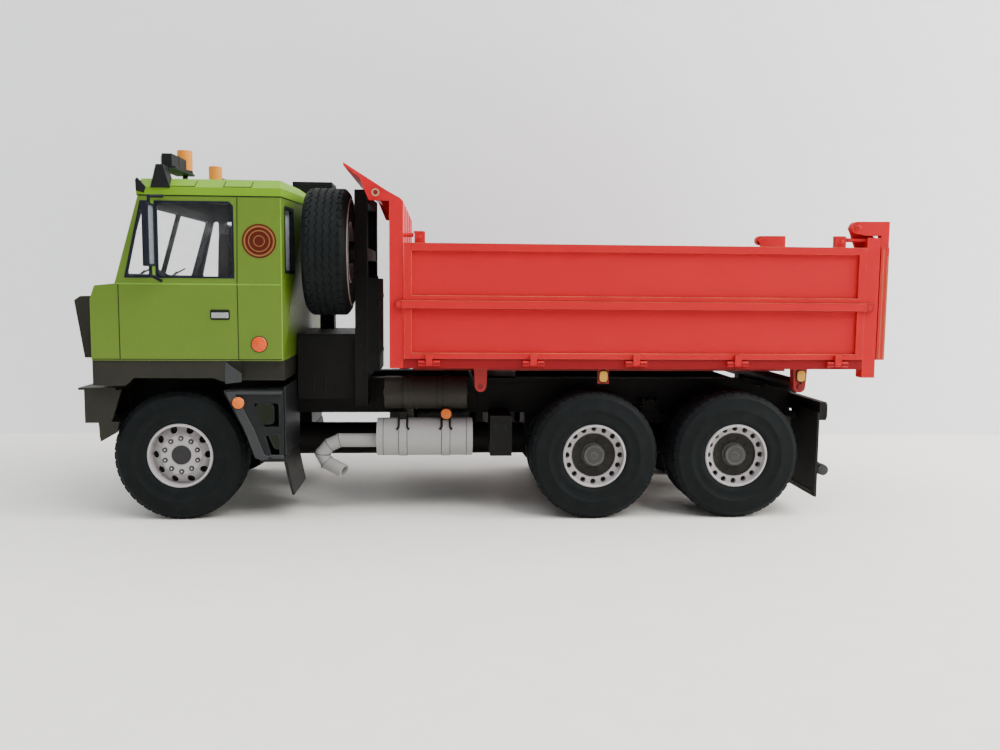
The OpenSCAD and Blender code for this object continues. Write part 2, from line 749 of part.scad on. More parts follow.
// Posts behind the cab, with cross rails and the spindle that holds the spare wheel
module spare_carrier() {
    s0 = carrier_s;
    s1 = carrier_s + carrier_t;
    foot_z = rail_z + 3;
    color([0.16, 0.15, 0.14]) {
        both_sides() {
            slab(s0, s1, carrier_y0, carrier_y1, foot_z, carrier_top);
            slab(s0, s1, frame_w / 2, carrier_y0 + 0.1, foot_z, foot_z + 1.2);
        }
        for (z = [spare_z - 1.6, carrier_top - 3.2])
            slab(s0 + 0.3, s1 - 0.3, -carrier_y0 - 0.1, carrier_y0 + 0.1, z, z + 3.2);
        long_bar(spare_s + spare_tyre_w - 4, s0 + 0.2, spare_y, spare_z, 6);
    }
}

module oil_tank() {
    s0 = carrier_s + carrier_t;
    color([0.13, 0.12, 0.12]) {
        slab(s0, s0 + 3.4, 4, 22, rail_top + 2.7, rail_top + 28.7);
    }
}

intake_y = 12.5;

module air_intake() {
    s0 = cab_back_s + 0.8;
    head_z = roof_z + 0.9;
    color([0.12, 0.12, 0.12]) {
        slab(s0, s0 + 4.4, -intake_y - 5, -intake_y, cover_top, head_z + 0.1);
        slab(s0 - 7.6, s0 + 4.4, -intake_y - 9, -intake_y + 3, head_z, head_z + 3.5);
    }
}

// ---- Along the frame ----

muffler_s0 = bed_front_s - 4.1;
muffler_s1 = muffler_s0 + 26.4;
muffler_y = 25.5;
muffler_z = rail_z - 5.15;
muffler_d = 10.5;
pipe_d = 3.8;

// Silencer with its end bands and straps, the bent tail pipe in front of it
module muffler() {
    pipe_z = muffler_z - 1.1;
    bend = [[muffler_s0 - 10.4, muffler_y, pipe_z], [muffler_s0 - 13.3, muffler_y, pipe_z - 1.35],
            [muffler_s0 - 15.4, muffler_y, pipe_z - 3.75], [muffler_s0 - 14.1, muffler_y, pipe_z - 6.25]];
    tail = [muffler_s0 - 9, muffler_y + 2.6, pipe_z - 8.25];
    run = tail - bend[3];
    color([0.66, 0.65, 0.63])
        difference() {
            union() {
                long_bar(muffler_s0, muffler_s1, muffler_y, muffler_z, muffler_d);
                for (s = [muffler_s0 + 6.2, muffler_s0 + 18])
                    long_bar(s, s + 2, muffler_y, muffler_z, muffler_d + 0.4);
                long_bar(bend[0][0], muffler_s0 + 0.5, muffler_y, pipe_z, pipe_d);
                for (i = [0:2])
                    rod(bend[i], bend[i + 1], pipe_d);
                for (p = bend)
                    translate([at(p[0]), p[1], p[2]]) sphere(d = pipe_d + 0.12);
                rod(bend[3], tail, pipe_d);
            }
            rod(tail + run * 0.2, bend[3] + run * 0.45, pipe_d - 0.8);
        }
}

tank_s0 = muffler_s0 + 2.1;
tank_s1 = muffler_s1 - 1.6;
tank_y = 24.6;
tank_d = 9.1;

// Dark air tank over the silencer, with the two brackets that carry both
module air_tank() {
    tank_z = muffler_z + muffler_d / 2 + 2.5 + tank_d / 2;
    color([0.17, 0.16, 0.15]) {
        long_bar(tank_s0, tank_s1, tank_y, tank_z, tank_d);
        for (s = [tank_s0 + 5.8, tank_s0 + 16.4]) {
            long_bar(s, s + 1.6, tank_y, tank_z, tank_d + 0.4);
            slab(s - 0.5, s + 2.1, frame_w / 2, tank_y + 1, muffler_z + muffler_d / 2 + 0.25,
                 muffler_z + muffler_d / 2 + 2.8);
        }
    }
}

module fuel_tank() {
    s0 = bed_front_s - 3;
    s1 = mid_s - tyre_d / 2 - 6;
    z0 = rail_z - 12;
    z1 = rail_top - 1.6;
    y0 = frame_w / 2;
    y1 = 36;
    r = 3;
    color([0.3, 0.3, 0.29])
        mirror([0, 1, 0]) {
            translate([at(s1), 0, 0])
                rotate([90, 0, 90])
                    linear_extrude(s1 - s0)
                        polygon([[y0 + 2.5, z0], [y1 - r, z0], [y1, z0 + r], [y1, z1 - r], [y1 - r, z1],
                                 [y0 + 2.5, z1]]);
            for (s = [s0 + 5, s1 - 7])
                slab(s, s + 2, y0, y0 + 2.6, rail_z + 1, rail_top - 2.2);
        }
}

module battery_box() {
    s1 = mid_s - tyre_d / 2 - 4.6;
    s0 = s1 - 6;
    y0 = frame_w / 2;
    color([0.14, 0.13, 0.13]) {
        slab(s0, s1, y0 + 2, y0 + 16, rail_z - 10, rail_z + 1.2);
        slab(s0 + 2, s0 + 5, y0, y0 + 2.1, rail_z + 0.2, rail_z + 1.2);
    }
}

// ---- Back of the frame ----

module rear_lamp_beam() {
    z1 = rail_top - 4.3;
    color([0.13, 0.12, 0.12])
        difference() {
            slab(frame_end_s, frame_end_s + 1.9, -beam_y, beam_y, z1 - 5, z1);
            slab(frame_end_s - 0.5, frame_end_s + 1.2, -beam_y + 2, beam_y - 2, z1 - 6, z1 - 4.4);
        }
}

underrun_z = 13;

module underrun_bar() {
    s = frame_end_s + 1.6;
    color([0.13, 0.12, 0.12]) {
        cross_bar(s, underrun_z, 3, -beam_y, beam_y);
        both_sides()
            slab(frame_end_s - 1, frame_end_s + 1.6, frame_w / 2 - 4, frame_w / 2 - 1.2, underrun_z,
                 rail_z);
    }
}

// ---- Tipping gear on the frame ----

shaft_d = 4;

module rear_tip_shaft() {
    z0 = rail_top - drop_h;
    shaft_y = tip_arm_y - tip_arm_t / 2 - move_gap;
    color([0.15, 0.14, 0.14]) {
        cross_bar(tip_s, tip_z, shaft_d, -shaft_y, shaft_y);
        cross_bar(tip_s, tip_z, tip_pin_d, -tip_arm_y - tip_arm_t / 2 - 0.2, tip_arm_y + tip_arm_t / 2 + 0.2);
        both_sides()
            slab(tip_s - 1.6, tip_s + 1.6, frame_w / 2 - rail_flange, frame_w / 2, z0, tip_z);
    }
}

front_arm_s = muffler_s1 + 1.8;

module front_tip_beam() {
    y1 = tip_arm_y - tip_arm_t / 2 - move_gap;
    color([0.15, 0.14, 0.14])
        slab(front_arm_s - 2, front_arm_s + 2, -y1, y1, rail_top, sill_z - 2.6);
}

// Collapsed telescopic cylinder standing in its cradle between the rails
module tip_cylinder() {
    s = front_arm_s + 7.4;
    z0 = tube_z + tube_d / 2 + 0.4;
    top = sill_z - 2.2;
    color([0.5, 0.49, 0.47]) {
        slab(s - 2.6, s + 2.6, -frame_w / 2 + rail_t, frame_w / 2 - rail_t, rail_z + rail_t + 1, rail_z + rail_t + 4);
        translate([at(s), 0, z0]) cylinder(h = top - 2 - z0, d = 10);
        translate([at(s), 0, z0]) cylinder(h = top - 1.3 - z0, d = 8.6);
        translate([at(s), 0, z0]) cylinder(h = top - 0.6 - z0, d = 6.2);
        translate([at(s), 0, z0]) cylinder(h = top - z0, d = 3.8);
    }
}

// ---- Bed ----

sill_w = 2;
floor_y = bed_w / 2 - sill_w;
post_w = 3.6;
knuckle_l = 1.9;
hinge_count = 5;
hinge_step = (board_rear_s - board_front_s - 13.7) / (hinge_count - 1);
function hinge_s(i) = board_front_s + 6.6 + i * hinge_step;

// Floor with its side sills and the fixed halves of the side board hinges
module bed_floor() {
    s0 = bed_front_s + post_t;
    s1 = bed_rear_s - rear_post_t;
    color([0.72, 0.24, 0.26]) {
        slab(s0, s1, -floor_y - 0.1, floor_y + 0.1, floor_z, floor_z + bed_t);
        slab(s1 - 0.1, bed_rear_s, -bed_w / 2 + post_w, bed_w / 2 - post_w, floor_z, floor_z + bed_t);
        both_sides() {
            slab(s0 + 0.1, s1 - 0.1, floor_y, bed_w / 2, sill_z, sill_z + sill_h);
            for (i = [0:hinge_count - 1]) {
                long_bar(hinge_s(i) - knuckle_l * 1.5, hinge_s(i) + knuckle_l * 1.5, hinge_y, hinge_z, hinge_pin_d);
                for (e = [-1.5, 0.6]) {
                    long_bar(hinge_s(i) + e * knuckle_l, hinge_s(i) + (e + 0.9) * knuckle_l, hinge_y,
                             hinge_z, knuckle_d);
                    slab(hinge_s(i) + e * knuckle_l, hinge_s(i) + (e + 0.9) * knuckle_l,
                         bed_w / 2 - 0.1, hinge_y, hinge_z - knuckle_d / 2, hinge_z);
                }
            }
        }
    }
}

beam_in_y = 18;
beam_w = 3.4;

// Bearers under the floor, tipping arms and side lamp brackets
module bed_beams() {
    s0 = bed_front_s + post_t + 2;
    s1 = bed_rear_s - rear_post_t - 2.4;
    beam_z = sill_z - 2.2;
    lamp_s = mid_s + 2;
    color([0.62, 0.2, 0.22])
        difference() {
            union() {
                both_sides() {
                    slab(s0, tip_s + 1.6, beam_in_y, beam_in_y + beam_w, beam_z, floor_z);
                    side_plate([[front_arm_s - 1.8, sill_z], [front_arm_s + 1.8, sill_z],
                                [front_arm_s + 1.5, tip_z], [front_arm_s - 1.5, tip_z]],
                               tip_arm_y - tip_arm_t / 2, tip_arm_y + tip_arm_t / 2);
                    cross_bar(front_arm_s, tip_z, 3, tip_arm_y - tip_arm_t / 2, tip_arm_y + tip_arm_t / 2);
                    side_plate([[tip_s - 2, sill_z], [tip_s + 2, sill_z], [tip_s + 1.6, tip_z],
                                [tip_s - 1.6, tip_z]], tip_arm_y - tip_arm_t / 2, tip_arm_y + tip_arm_t / 2);
                    cross_bar(tip_s, tip_z, 3.2, tip_arm_y - tip_arm_t / 2, tip_arm_y + tip_arm_t / 2);
                    slab(lamp_s - 1.5, lamp_s + 1.5, tip_arm_y + 0.6, tip_arm_y + 1.6, sill_z - 4.2, sill_z);
                }
                for (s = [s0, front_arm_s - 1, lamp_s - 1, mid_s + 20, tip_s - 1, s1])
                    slab(s, s + 2, -floor_y + 0.4, floor_y - 0.4, sill_z, floor_z);
            }
            cross_bar(front_arm_s, tip_z, 1.4, -bed_w, bed_w);
            cross_bar(tip_s, tip_z, tip_pin_d + 2 * fit, -bed_w, bed_w);
        }
}

post_top = board_top + 10.8;

// Front wall with its corner posts and the guard that leans over the cab
module bed_front_wall() {
    s0 = bed_front_s;
    s1 = bed_front_s + post_t;
    y1 = bed_w / 2;
    guard_tip = [s0 - 11.7, post_top + 9.5];
    color([0.72, 0.24, 0.26]) {
        both_sides() {
            slab(s0, s1, y1 - post_w, y1, sill_z, post_top);
            side_plate([[s0 - 8, post_top + 6.6], [s0 - 5.2, post_top], [s1, post_top - 0.1],
                        [s1 - 0.8, post_top + 0.7]], y1 - 1, y1);
            long_bar(s1 - 0.5, s1 + 2.7, y1 - 1.6, board_top + 2.1, 1.1);
        }
        slab(s1 - 1.8, s1, -y1 + post_w - 0.1, y1 - post_w + 0.1, floor_z, post_top);
        side_plate([guard_tip, [s1 - 0.6, post_top + 0.3], [s1 - 0.6, post_top - 0.5],
                    [s1 - 1.8, post_top - 0.5], [guard_tip[0], guard_tip[1] - 0.8]], -y1, y1);
        for (y = [-14, 14])
            side_plate([[s1 - 1.5, post_top - 6], [s0 - 2.4, post_top - 0.2], [s0 - 5.2, post_top + 4.4],
                        [s1 - 1.5, post_top]], y - 0.5, y + 0.5);
    }
}

// Corner posts at the back, with the ears that hold the tailgate's pins
module bed_rear_posts() {
    y1 = bed_w / 2;
    post_s = bed_rear_s - rear_post_t;
    color([0.72, 0.24, 0.26])
        both_sides() {
            slab(post_s, bed_rear_s, y1 - post_w, y1, sill_z - 2.3, board_top + 2.7);
            side_plate([[bed_rear_s, board_top - 5], [bed_rear_s, board_top + 2.7],
                        [gate_pin_s + 1, gate_pin_z + 1.2], [gate_pin_s - 1.2, gate_pin_z],
                        [gate_pin_s - 0.6, gate_pin_z - 1.2], [post_s, board_top - 5]],
                       y1 - post_w - 0.5, y1 - post_w + 0.7);
            cross_bar(gate_pin_s, gate_pin_z, 1.2, y1 - post_w, y1 - 0.1);
            long_bar(post_s - 5.1, post_s + 0.5, y1 - 1.6, board_top + 2.1, 1.1);
        }
}

rib = 0.8;

// A side board: panel, framing ribs, the long middle rail, top brackets and hinge straps
module side_board() {
    y0 = bed_w / 2 - 1.4;
    y1 = y0 + bed_t;
    y2 = y1 + rib;
    s0 = board_front_s;
    s1 = board_rear_s;
    mid_z = board_z + 13.2;
    color([0.72, 0.24, 0.26])
        difference() {
            union() {
                slab(s0, s1, y0, y1, board_z, board_top);
                slab(s0, s1, y1 - 0.1, y2, board_top - 1.9, board_top);
                slab(s0, s1, y1 - 0.1, y2, board_z, board_z + 1.5);
                slab(s0, s1, y1 - 0.1, y2, mid_z + 2, mid_z + 3.4);
                for (s = [s0, s1 - 2])
                    slab(s, s + 2, y1 - 0.1, y2, board_z, board_top);
                slab(s0 - 2.2, s1 + 2.2, y1 + 0.5, y2 + 0.6, mid_z, mid_z + 2.1);
                slab(s0, s1, y1 - 0.1, y2, mid_z, mid_z + 2.1);
                for (s = [s0 + 2.7, s1 - 8.3])
                    slab(s, s + 2.8, bed_w / 2 - 2.6, bed_w / 2 - 0.6, board_top - 0.1, board_top + 3);
                for (i = [0:hinge_count - 1]) {
                    long_bar(hinge_s(i) - knuckle_l * 0.45, hinge_s(i) + knuckle_l * 0.45, hinge_y, hinge_z,
                             knuckle_d);
                    slab(hinge_s(i) - knuckle_l * 0.45, hinge_s(i) + knuckle_l * 0.45, y2 - 0.1,
                         hinge_y + knuckle_d / 2, hinge_z, board_z + 1.2);
                }
            }
            for (i = [0:hinge_count - 1])
                long_bar(hinge_s(i) - 2, hinge_s(i) + 2, hinge_y, hinge_z, hinge_pin_d + 2 * fit);
        }
}

module side_board_left() { side_board(); }
module side_board_right() { mirror([0, 1, 0]) side_board(); }

// Tailgate hung from two arms that reach over the rear posts
module tailgate() {
    y1 = bed_w / 2;
    s0 = gate_s;
    s1 = gate_s + gate_t;
    z1 = board_top + 0.2;
    arm_z = board_top + 3.3;
    arm_y0 = y1 - post_w + 1;
    arm_y1 = y1 - 0.4;
    color([0.72, 0.24, 0.26])
        difference() {
            union() {
                slab(s0, s0 + bed_t, -y1, y1, board_z, z1);
                for (z = [board_z, board_z + 15, z1 - 2])
                    slab(s0 + 0.5, s1, -y1, y1, z, z + 2);
                for (y = [-y1, -0.32 * y1, 0.32 * y1 - 2, y1 - 2])
                    slab(s0 + 0.5, s1, y, y + 2, board_z, z1);
                both_sides() {
                    side_plate([[gate_pin_s, gate_pin_z - 1.6], [bed_rear_s - rear_post_t, arm_z], [s0, arm_z],
                                [s0, z1 - 2], [s1, z1 - 2], [s1, gate_pin_z + 1.7],
                                [gate_pin_s, gate_pin_z + 1.6]], arm_y0, arm_y1);
                    cross_bar(gate_pin_s, gate_pin_z, 3.2, arm_y0, arm_y1);
                }
            }
            cross_bar(gate_pin_s, gate_pin_z, 1.2 + 2 * fit, -bed_w, bed_w);
        }
}

frame_rail_left();
frame_rail_right();
cross_members();
backbone_tube();
front_axle();
mid_axle();
rear_axle();
rear_springs();
cab_shell();
cab_roof();
cab_skirt();
windscreen();
side_glass();
rear_glass();
grille();
bumper();
dashboard();
steering_wheel();
seats();
mirror_left();
mirror_right();
roof_light_bars();
beacons();
step_left();
step_right();
mud_flaps();
engine_cover();
spare_carrier();
spare_tyre();
spare_rim();
oil_tank();
air_intake();
muffler();
air_tank();
fuel_tank();
battery_box();
rear_lamp_beam();
underrun_bar();
rear_tip_shaft();
front_tip_beam();
tip_cylinder();
tyre_front_left();
tyre_front_right();
rim_front_left();
rim_front_right();
tyres_mid_left();
tyres_mid_right();
rim_mid_left();
rim_mid_right();
tyres_rear_left();
tyres_rear_right();
rim_rear_left();
rim_rear_right();
bed_floor();
bed_beams();
bed_front_wall();
bed_rear_posts();
side_board_left();
side_board_right();
tailgate();
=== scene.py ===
import math

import bmesh
import bpy
from mathutils import Matrix, Vector


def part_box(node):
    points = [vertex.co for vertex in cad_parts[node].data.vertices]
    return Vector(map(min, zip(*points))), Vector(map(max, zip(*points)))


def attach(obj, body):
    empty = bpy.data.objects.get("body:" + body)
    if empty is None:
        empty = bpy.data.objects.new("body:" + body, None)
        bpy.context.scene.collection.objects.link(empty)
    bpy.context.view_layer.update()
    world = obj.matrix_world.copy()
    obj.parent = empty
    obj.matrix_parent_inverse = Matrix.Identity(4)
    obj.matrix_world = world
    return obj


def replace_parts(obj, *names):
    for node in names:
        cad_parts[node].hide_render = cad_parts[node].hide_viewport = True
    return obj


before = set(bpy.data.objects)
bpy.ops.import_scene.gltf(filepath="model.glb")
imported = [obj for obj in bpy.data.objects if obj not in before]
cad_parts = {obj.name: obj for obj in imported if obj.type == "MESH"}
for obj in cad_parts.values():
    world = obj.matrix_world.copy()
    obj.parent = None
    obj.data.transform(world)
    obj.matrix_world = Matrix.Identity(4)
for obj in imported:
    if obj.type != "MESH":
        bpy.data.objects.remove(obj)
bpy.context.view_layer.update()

# ---- Frame rails, backbone tube and axles -------------------------------------------------
# Folded channels of black printed card, glued to saddles on a rolled paper backbone tube.
# The swing axles, their knuckles and the leaf packs are small glued boxes and rolled rods.

MM = 0.001


def box_mm(node):
    """The lowest and highest corner of a CAD node, in millimetres."""
    low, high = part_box(node)
    return low / MM, high / MM


def middle(node):
    low, high = box_mm(node)
    return (low + high) / 2


def span(side, near, far):
    """Two distances from the truck's middle as low and high Y on one side: 1 for left, -1 for right."""
    return sorted((side * near, side * far))


front_axle_x = middle("tyre_front_left").x
axle_z = middle("tyre_front_left").z


def at(s):
    """X of a place s behind the front axle."""
    return front_axle_x - s


PLACES = {"x": lambda u, v, w: (w, u, v), "y": lambda u, v, w: (u, w, v), "z": lambda u, v, w: (u, v, w)}


def add_prism(shape, outline, axis, low, high):
    """A flat outline, given in the two other axes in order, made solid from low to high along axis."""
    place = PLACES[axis]
    rings = [[shape.verts.new(Vector(place(u, v, w)) * MM) for u, v in outline] for w in (low, high)]
    for ring in rings:
        shape.faces.new(ring)
    for i in range(len(outline)):
        shape.faces.new((rings[0][i - 1], rings[0][i], rings[1][i], rings[1][i - 1]))


def add_block(shape, x0, x1, y0, y1, z0, z1):
    add_prism(shape, [(x0, y0), (x1, y0), (x1, y1), (x0, y1)], "z", z0, z1)


def add_line(shape, path, width, axis, low, high, closed=False):
    """A narrow strip of even width along a flat path, with mitred corners, made solid along axis."""
    points = [Vector(p) for p in path]
    count = len(points)
    sides = []
    for i, p in enumerate(points):
        before = points[i - 1] if closed or i else None
        after = points[(i + 1) % count] if closed or i < count - 1 else None
        d0 = (p - before).normalized() if before is not None else (after - p).normalized()
        d1 = (after - p).normalized() if after is not None else d0
        normal = Vector((-(d0 + d1).y, (d0 + d1).x)).normalized()
        reach = width / 2 / max(0.3, normal.dot(Vector((-d0.y, d0.x))))
        sides.append((p + normal * reach, p - normal * reach))
    for i in range(count if closed else count - 1):
        (a, b), (c, d) = sides[i], sides[(i + 1) % count]
        add_prism(shape, [a, c, d, b], axis, low, high)


def add_turned(shape, profile, centre, axis, outward=1, parts=48, start=0.0):
    """A profile of (radius, place along axis) turned round axis at centre; outward -1 mirrors it."""
    place = PLACES[axis]
    rings = []
    for radius, along in profile:
        ring = []
        for k in range(parts if radius > 1e-6 else 1):
            a = start + 2 * math.pi * k / parts
            offset = Vector(place(radius * math.cos(a), radius * math.sin(a), along * outward))
            ring.append(shape.verts.new((Vector(centre) + offset) * MM))
        rings.append(ring)
    for low, high in zip(rings, rings[1:]):
        for k in range(parts):
            quad = [low[k % len(low)], low[(k + 1) % len(low)], high[(k + 1) % len(high)], high[k % len(high)]]
            corners = list(dict.fromkeys(quad))
            if len(corners) > 2:
                shape.faces.new(corners)


def add_tube(shape, path, radius, parts=12):
    """A round rod of even thickness along a path of points, closed at both ends."""
    points = [Vector(p) for p in path]
    rings, side = [], None
    for i, p in enumerate(points):
        d0 = (p - points[i - 1]).normalized() if i else (points[1] - p).normalized()
        d1 = (points[i + 1] - p).normalized() if i < len(points) - 1 else d0
        run = (d0 + d1).normalized()
        if side is None:
            side = run.orthogonal().normalized()
        side = (side - run * side.dot(run)).normalized()
        other = run.cross(side)
        turns = [2 * math.pi * k / parts for k in range(parts)]
        rings.append([shape.verts.new((p + (side * math.cos(a) + other * math.sin(a)) * radius) * MM) for a in turns])
    for low, high in zip(rings, rings[1:]):
        for k in range(parts):
            shape.faces.new((low[k], low[(k + 1) % parts], high[(k + 1) % parts], high[k]))
    shape.faces.new(rings[0])
    shape.faces.new(rings[-1])


def make_piece(name, shape, finish, body, round_off=0.0, smooth=35):
    """Turns a shape into a named piece with its finish, rounded by round_off, riding on a body."""
    bmesh.ops.remove_doubles(shape, verts=shape.verts, dist=0.001 * MM)
    bmesh.ops.recalc_face_normals(shape, faces=shape.faces)
    mesh = bpy.data.meshes.new(name)
    shape.to_mesh(mesh)
    shape.free()
    mesh.shade_smooth()
    mesh.set_sharp_from_angle(angle=math.radians(smooth))
    mesh.materials.append(finish)
    piece = bpy.data.objects.new(name, mesh)
    bpy.context.scene.collection.objects.link(piece)
    if round_off:
        rounding = piece.modifiers.new("rounding", "BEVEL")
        rounding.width = round_off * MM
        rounding.segments = 2
        rounding.limit_method = "ANGLE"
        rounding.angle_limit = math.radians(40)
    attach(piece, body)
    return piece


def dress(finish, *nodes):
    """Gives CAD nodes a finish in place of their plain one."""
    for node in nodes:
        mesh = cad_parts[node].data
        mesh.materials.clear()
        mesh.materials.append(finish)


def new_group(name, inputs, outputs):
    """A shader node group with its sockets; returns the group, its node maker and its two ends."""
    group = bpy.data.node_groups.new(name, "ShaderNodeTree")
    for label, kind, value in inputs:
        socket = group.interface.new_socket(label, in_out="INPUT", socket_type=kind)
        socket.default_value = value
    for label, kind in outputs:
        group.interface.new_socket(label, in_out="OUTPUT", socket_type=kind)
    return group, group.nodes.new("NodeGroupInput"), group.nodes.new("NodeGroupOutput")


def add_node(tree, kind, settings=None, links=None, **values):
    """Adds a node: settings are its options, links its linked inputs by place or name, values plain inputs."""
    made = tree.nodes.new("ShaderNode" + kind)
    for key, value in (settings or {}).items():
        setattr(made, key, value)
    for key, value in values.items():
        made.inputs[key.replace("_", " ")].default_value = value
    for key, value in (links or {}).items():
        if isinstance(value, bpy.types.NodeSocket):
            tree.links.new(value, made.inputs[key])
        else:
            made.inputs[key].default_value = value
    return made


def math_of(tree, operation, *terms, clamp=False):
    """The output of a Math node; terms are sockets or numbers."""
    return add_node(tree, "Math", {"operation": operation, "use_clamp": clamp}, dict(enumerate(terms))).outputs[0]


def noise_of(tree, place, scale, detail=3.0, roughness=0.55):
    made = add_node(tree, "TexNoise", None, {"Vector": place}, Scale=scale, Detail=detail, Roughness=roughness)
    return made.outputs["Fac"]


def band_of(tree, value, low, high):
    """0 below low, 1 above high, with a straight ramp between."""
    made = add_node(tree, "MapRange", None, {"Value": value, "From Min": low, "From Max": high})
    return made.outputs["Result"]


def mix_of(tree, share, first, second):
    """Colour mix of two sockets or colours."""
    made = add_node(tree, "Mix", {"data_type": "RGBA"})
    for index, value in ((0, share), (6, first), (7, second)):
        if isinstance(value, bpy.types.NodeSocket):
            tree.links.new(value, made.inputs[index])
        else:
            made.inputs[index].default_value = value if index == 0 else (*value, 1.0)
    return made.outputs[2]


# Printed card: ink with the slight mottle of the press, fibres that stand up a little, and cut or
# folded edges where the ink has cracked and the pale core shows.
card_print, ends, out = new_group(
    "card_print",
    [("Ink", "NodeSocketColor", (0.5, 0.5, 0.5, 1)), ("Core", "NodeSocketColor", (0.7, 0.65, 0.6, 1)),
     ("Mottle", "NodeSocketFloat", 0.1), ("Edge Wear", "NodeSocketFloat", 0.5),
     ("Gloss", "NodeSocketFloat", 0.6)],
    [("Color", "NodeSocketColor"), ("Roughness", "NodeSocketFloat"), ("Height", "NodeSocketFloat")])
place = add_node(card_print, "TexCoord").outputs["Object"]
cloud = noise_of(card_print, place, 120.0, 2.0)
fibre = noise_of(card_print, place, 1500.0, 5.0, 0.7)
speck = noise_of(card_print, place, 5200.0, 2.0)
tone = math_of(card_print, "ADD", math_of(card_print, "MULTIPLY", cloud, 0.9),
               math_of(card_print, "MULTIPLY", fibre, 1.1))
tone = math_of(card_print, "MULTIPLY", math_of(card_print, "SUBTRACT", tone, 1.0), ends.outputs["Mottle"])
shade = add_node(card_print, "HueSaturation", None, {"Color": ends.outputs["Ink"],
                 "Value": math_of(card_print, "ADD", 1.0, tone)}).outputs[0]
bevel = add_node(card_print, "Bevel", {"samples": 4}, Radius=0.28 * MM).outputs[0]
flat = add_node(card_print, "NewGeometry").outputs["True Normal"]
turn = add_node(card_print, "VectorMath", {"operation": "DOT_PRODUCT"}, {0: bevel, 1: flat}).outputs["Value"]
edge = math_of(card_print, "SUBTRACT", 1.0, band_of(card_print, turn, 0.86, 0.985))
worn = math_of(card_print, "MULTIPLY", edge, band_of(card_print, math_of(card_print, "ADD", fibre, cloud), 0.7, 1.25))
worn = math_of(card_print, "MULTIPLY", worn, ends.outputs["Edge Wear"], clamp=True)
card_print.links.new(mix_of(card_print, worn, shade, ends.outputs["Core"]), out.inputs["Color"])
grain = math_of(card_print, "MULTIPLY", math_of(card_print, "SUBTRACT", fibre, 0.5), 0.35)
card_print.links.new(math_of(card_print, "ADD", ends.outputs["Gloss"], grain), out.inputs["Roughness"])
card_print.links.new(math_of(card_print, "ADD", fibre, math_of(card_print, "MULTIPLY", speck, 0.4)),
                     out.inputs["Height"])


def new_finish(name):
    """A material with its Principled shader; the group or nodes that feed it are added by the caller."""
    finish = bpy.data.materials.new(name)
    finish.use_nodes = True
    return finish, finish.node_tree, finish.node_tree.nodes["Principled BSDF"]


def card_finish(name, ink, core=(0.62, 0.58, 0.52), mottle=0.12, wear=0.5, gloss=0.55, relief=0.25, sheen=0.3):
    """A printed card finish; the caller may go on to draw over its colour."""
    finish, tree, shader = new_finish(name)
    print_of = tree.nodes.new("ShaderNodeGroup")
    print_of.node_tree = card_print
    print_of.inputs["Ink"].default_value = (*ink, 1.0)
    print_of.inputs["Core"].default_value = (*core, 1.0)
    print_of.inputs["Mottle"].default_value = mottle
    print_of.inputs["Edge Wear"].default_value = wear
    print_of.inputs["Gloss"].default_value = gloss
    relief_of = add_node(tree, "Bump", None, {"Height": print_of.outputs["Height"]},
                         Strength=relief, Distance=0.06 * MM)
    shader.inputs["Specular IOR Level"].default_value = sheen if max(ink) > 0.08 else sheen * 0.4
    tree.links.new(print_of.outputs["Color"], shader.inputs["Base Color"])
    tree.links.new(print_of.outputs["Roughness"], shader.inputs["Roughness"])
    tree.links.new(relief_of.outputs["Normal"], shader.inputs["Normal"])
    return finish


black_card = card_finish("black_card", (0.0075, 0.007, 0.0065), (0.06, 0.055, 0.05), mottle=0.35, wear=0.4)
dress(black_card, "frame_rail_left", "frame_rail_right", "cross_members", "backbone_tube",
      "front_axle", "mid_axle", "rear_axle", "rear_springs")


def add_nut(shape, centre, axis, radius, height, outward=1, sides=6):
    """A hexagon nut with a chamfered top standing on centre."""
    add_turned(shape, [(0, 0), (radius, 0), (radius, height * 0.75), (radius * 0.8, height), (0, height)],
               centre, axis, outward, sides)


rail_low, rail_high = box_mm("frame_rail_left")
rail_y = rail_high.y
saddle_places = [front_axle_x - 12, front_axle_x - 59.8, front_axle_x - 96, front_axle_x - 130.6]
bolts = bmesh.new()
plates = bmesh.new()
for side in (1, -1):
    for x in saddle_places:
        for dx in (-1.6, 1.6):
            for z in (rail_low.z + 2.6, rail_high.z - 4.4):
                add_nut(bolts, (x + dx, rail_y * side, z), "y", 0.5, 0.4, side)
    for x0, x1 in ((at(104), at(80)), (at(60), at(50.5))):
        add_block(plates, x0, x1, *span(side, rail_y, rail_y + 0.35),
                  rail_low.z + 1.2, rail_high.z - 1.5)
make_piece("frame_bolts", bolts, black_card, "chassis")
make_piece("frame_fishplates", plates, black_card, "chassis", round_off=0.08)

# Leaf packs: the printed lines between leaves, and the clamp round each pack's middle.
spring_low, spring_high = box_mm("rear_springs")
spring_mid = (spring_low.x + spring_high.x) / 2
leaves = bmesh.new()
clamps = bmesh.new()
for side in (1, -1):
    for step in range(4):
        half = (spring_high.x - spring_low.x) / 2 - 3 - step * 3.4
        z = spring_high.z - 0.9 - step * 1.1
        arch = [(spring_mid + half * k / 6, z - 3.4 * (k / 6 * half / 19) ** 2) for k in range(-6, 7)]
        y = spring_high.y
        add_line(leaves, arch, 0.28, "y", *span(side, y, y + 0.12))
    for dx in (-2.1, 2.1):
        y0, y1 = span(side, spring_high.y - 3, spring_high.y + 0.3)
        add_block(clamps, spring_mid + dx - 0.4, spring_mid + dx + 0.4, y0, y1, spring_low.z + 2.2,
                  spring_high.z + 0.35)
leaf_line = card_finish("leaf_line", (0.006, 0.006, 0.006), mottle=0.1, wear=0.0)
make_piece("spring_leaf_lines", leaves, leaf_line, "chassis")
make_piece("spring_clamps", clamps, black_card, "chassis", round_off=0.1)

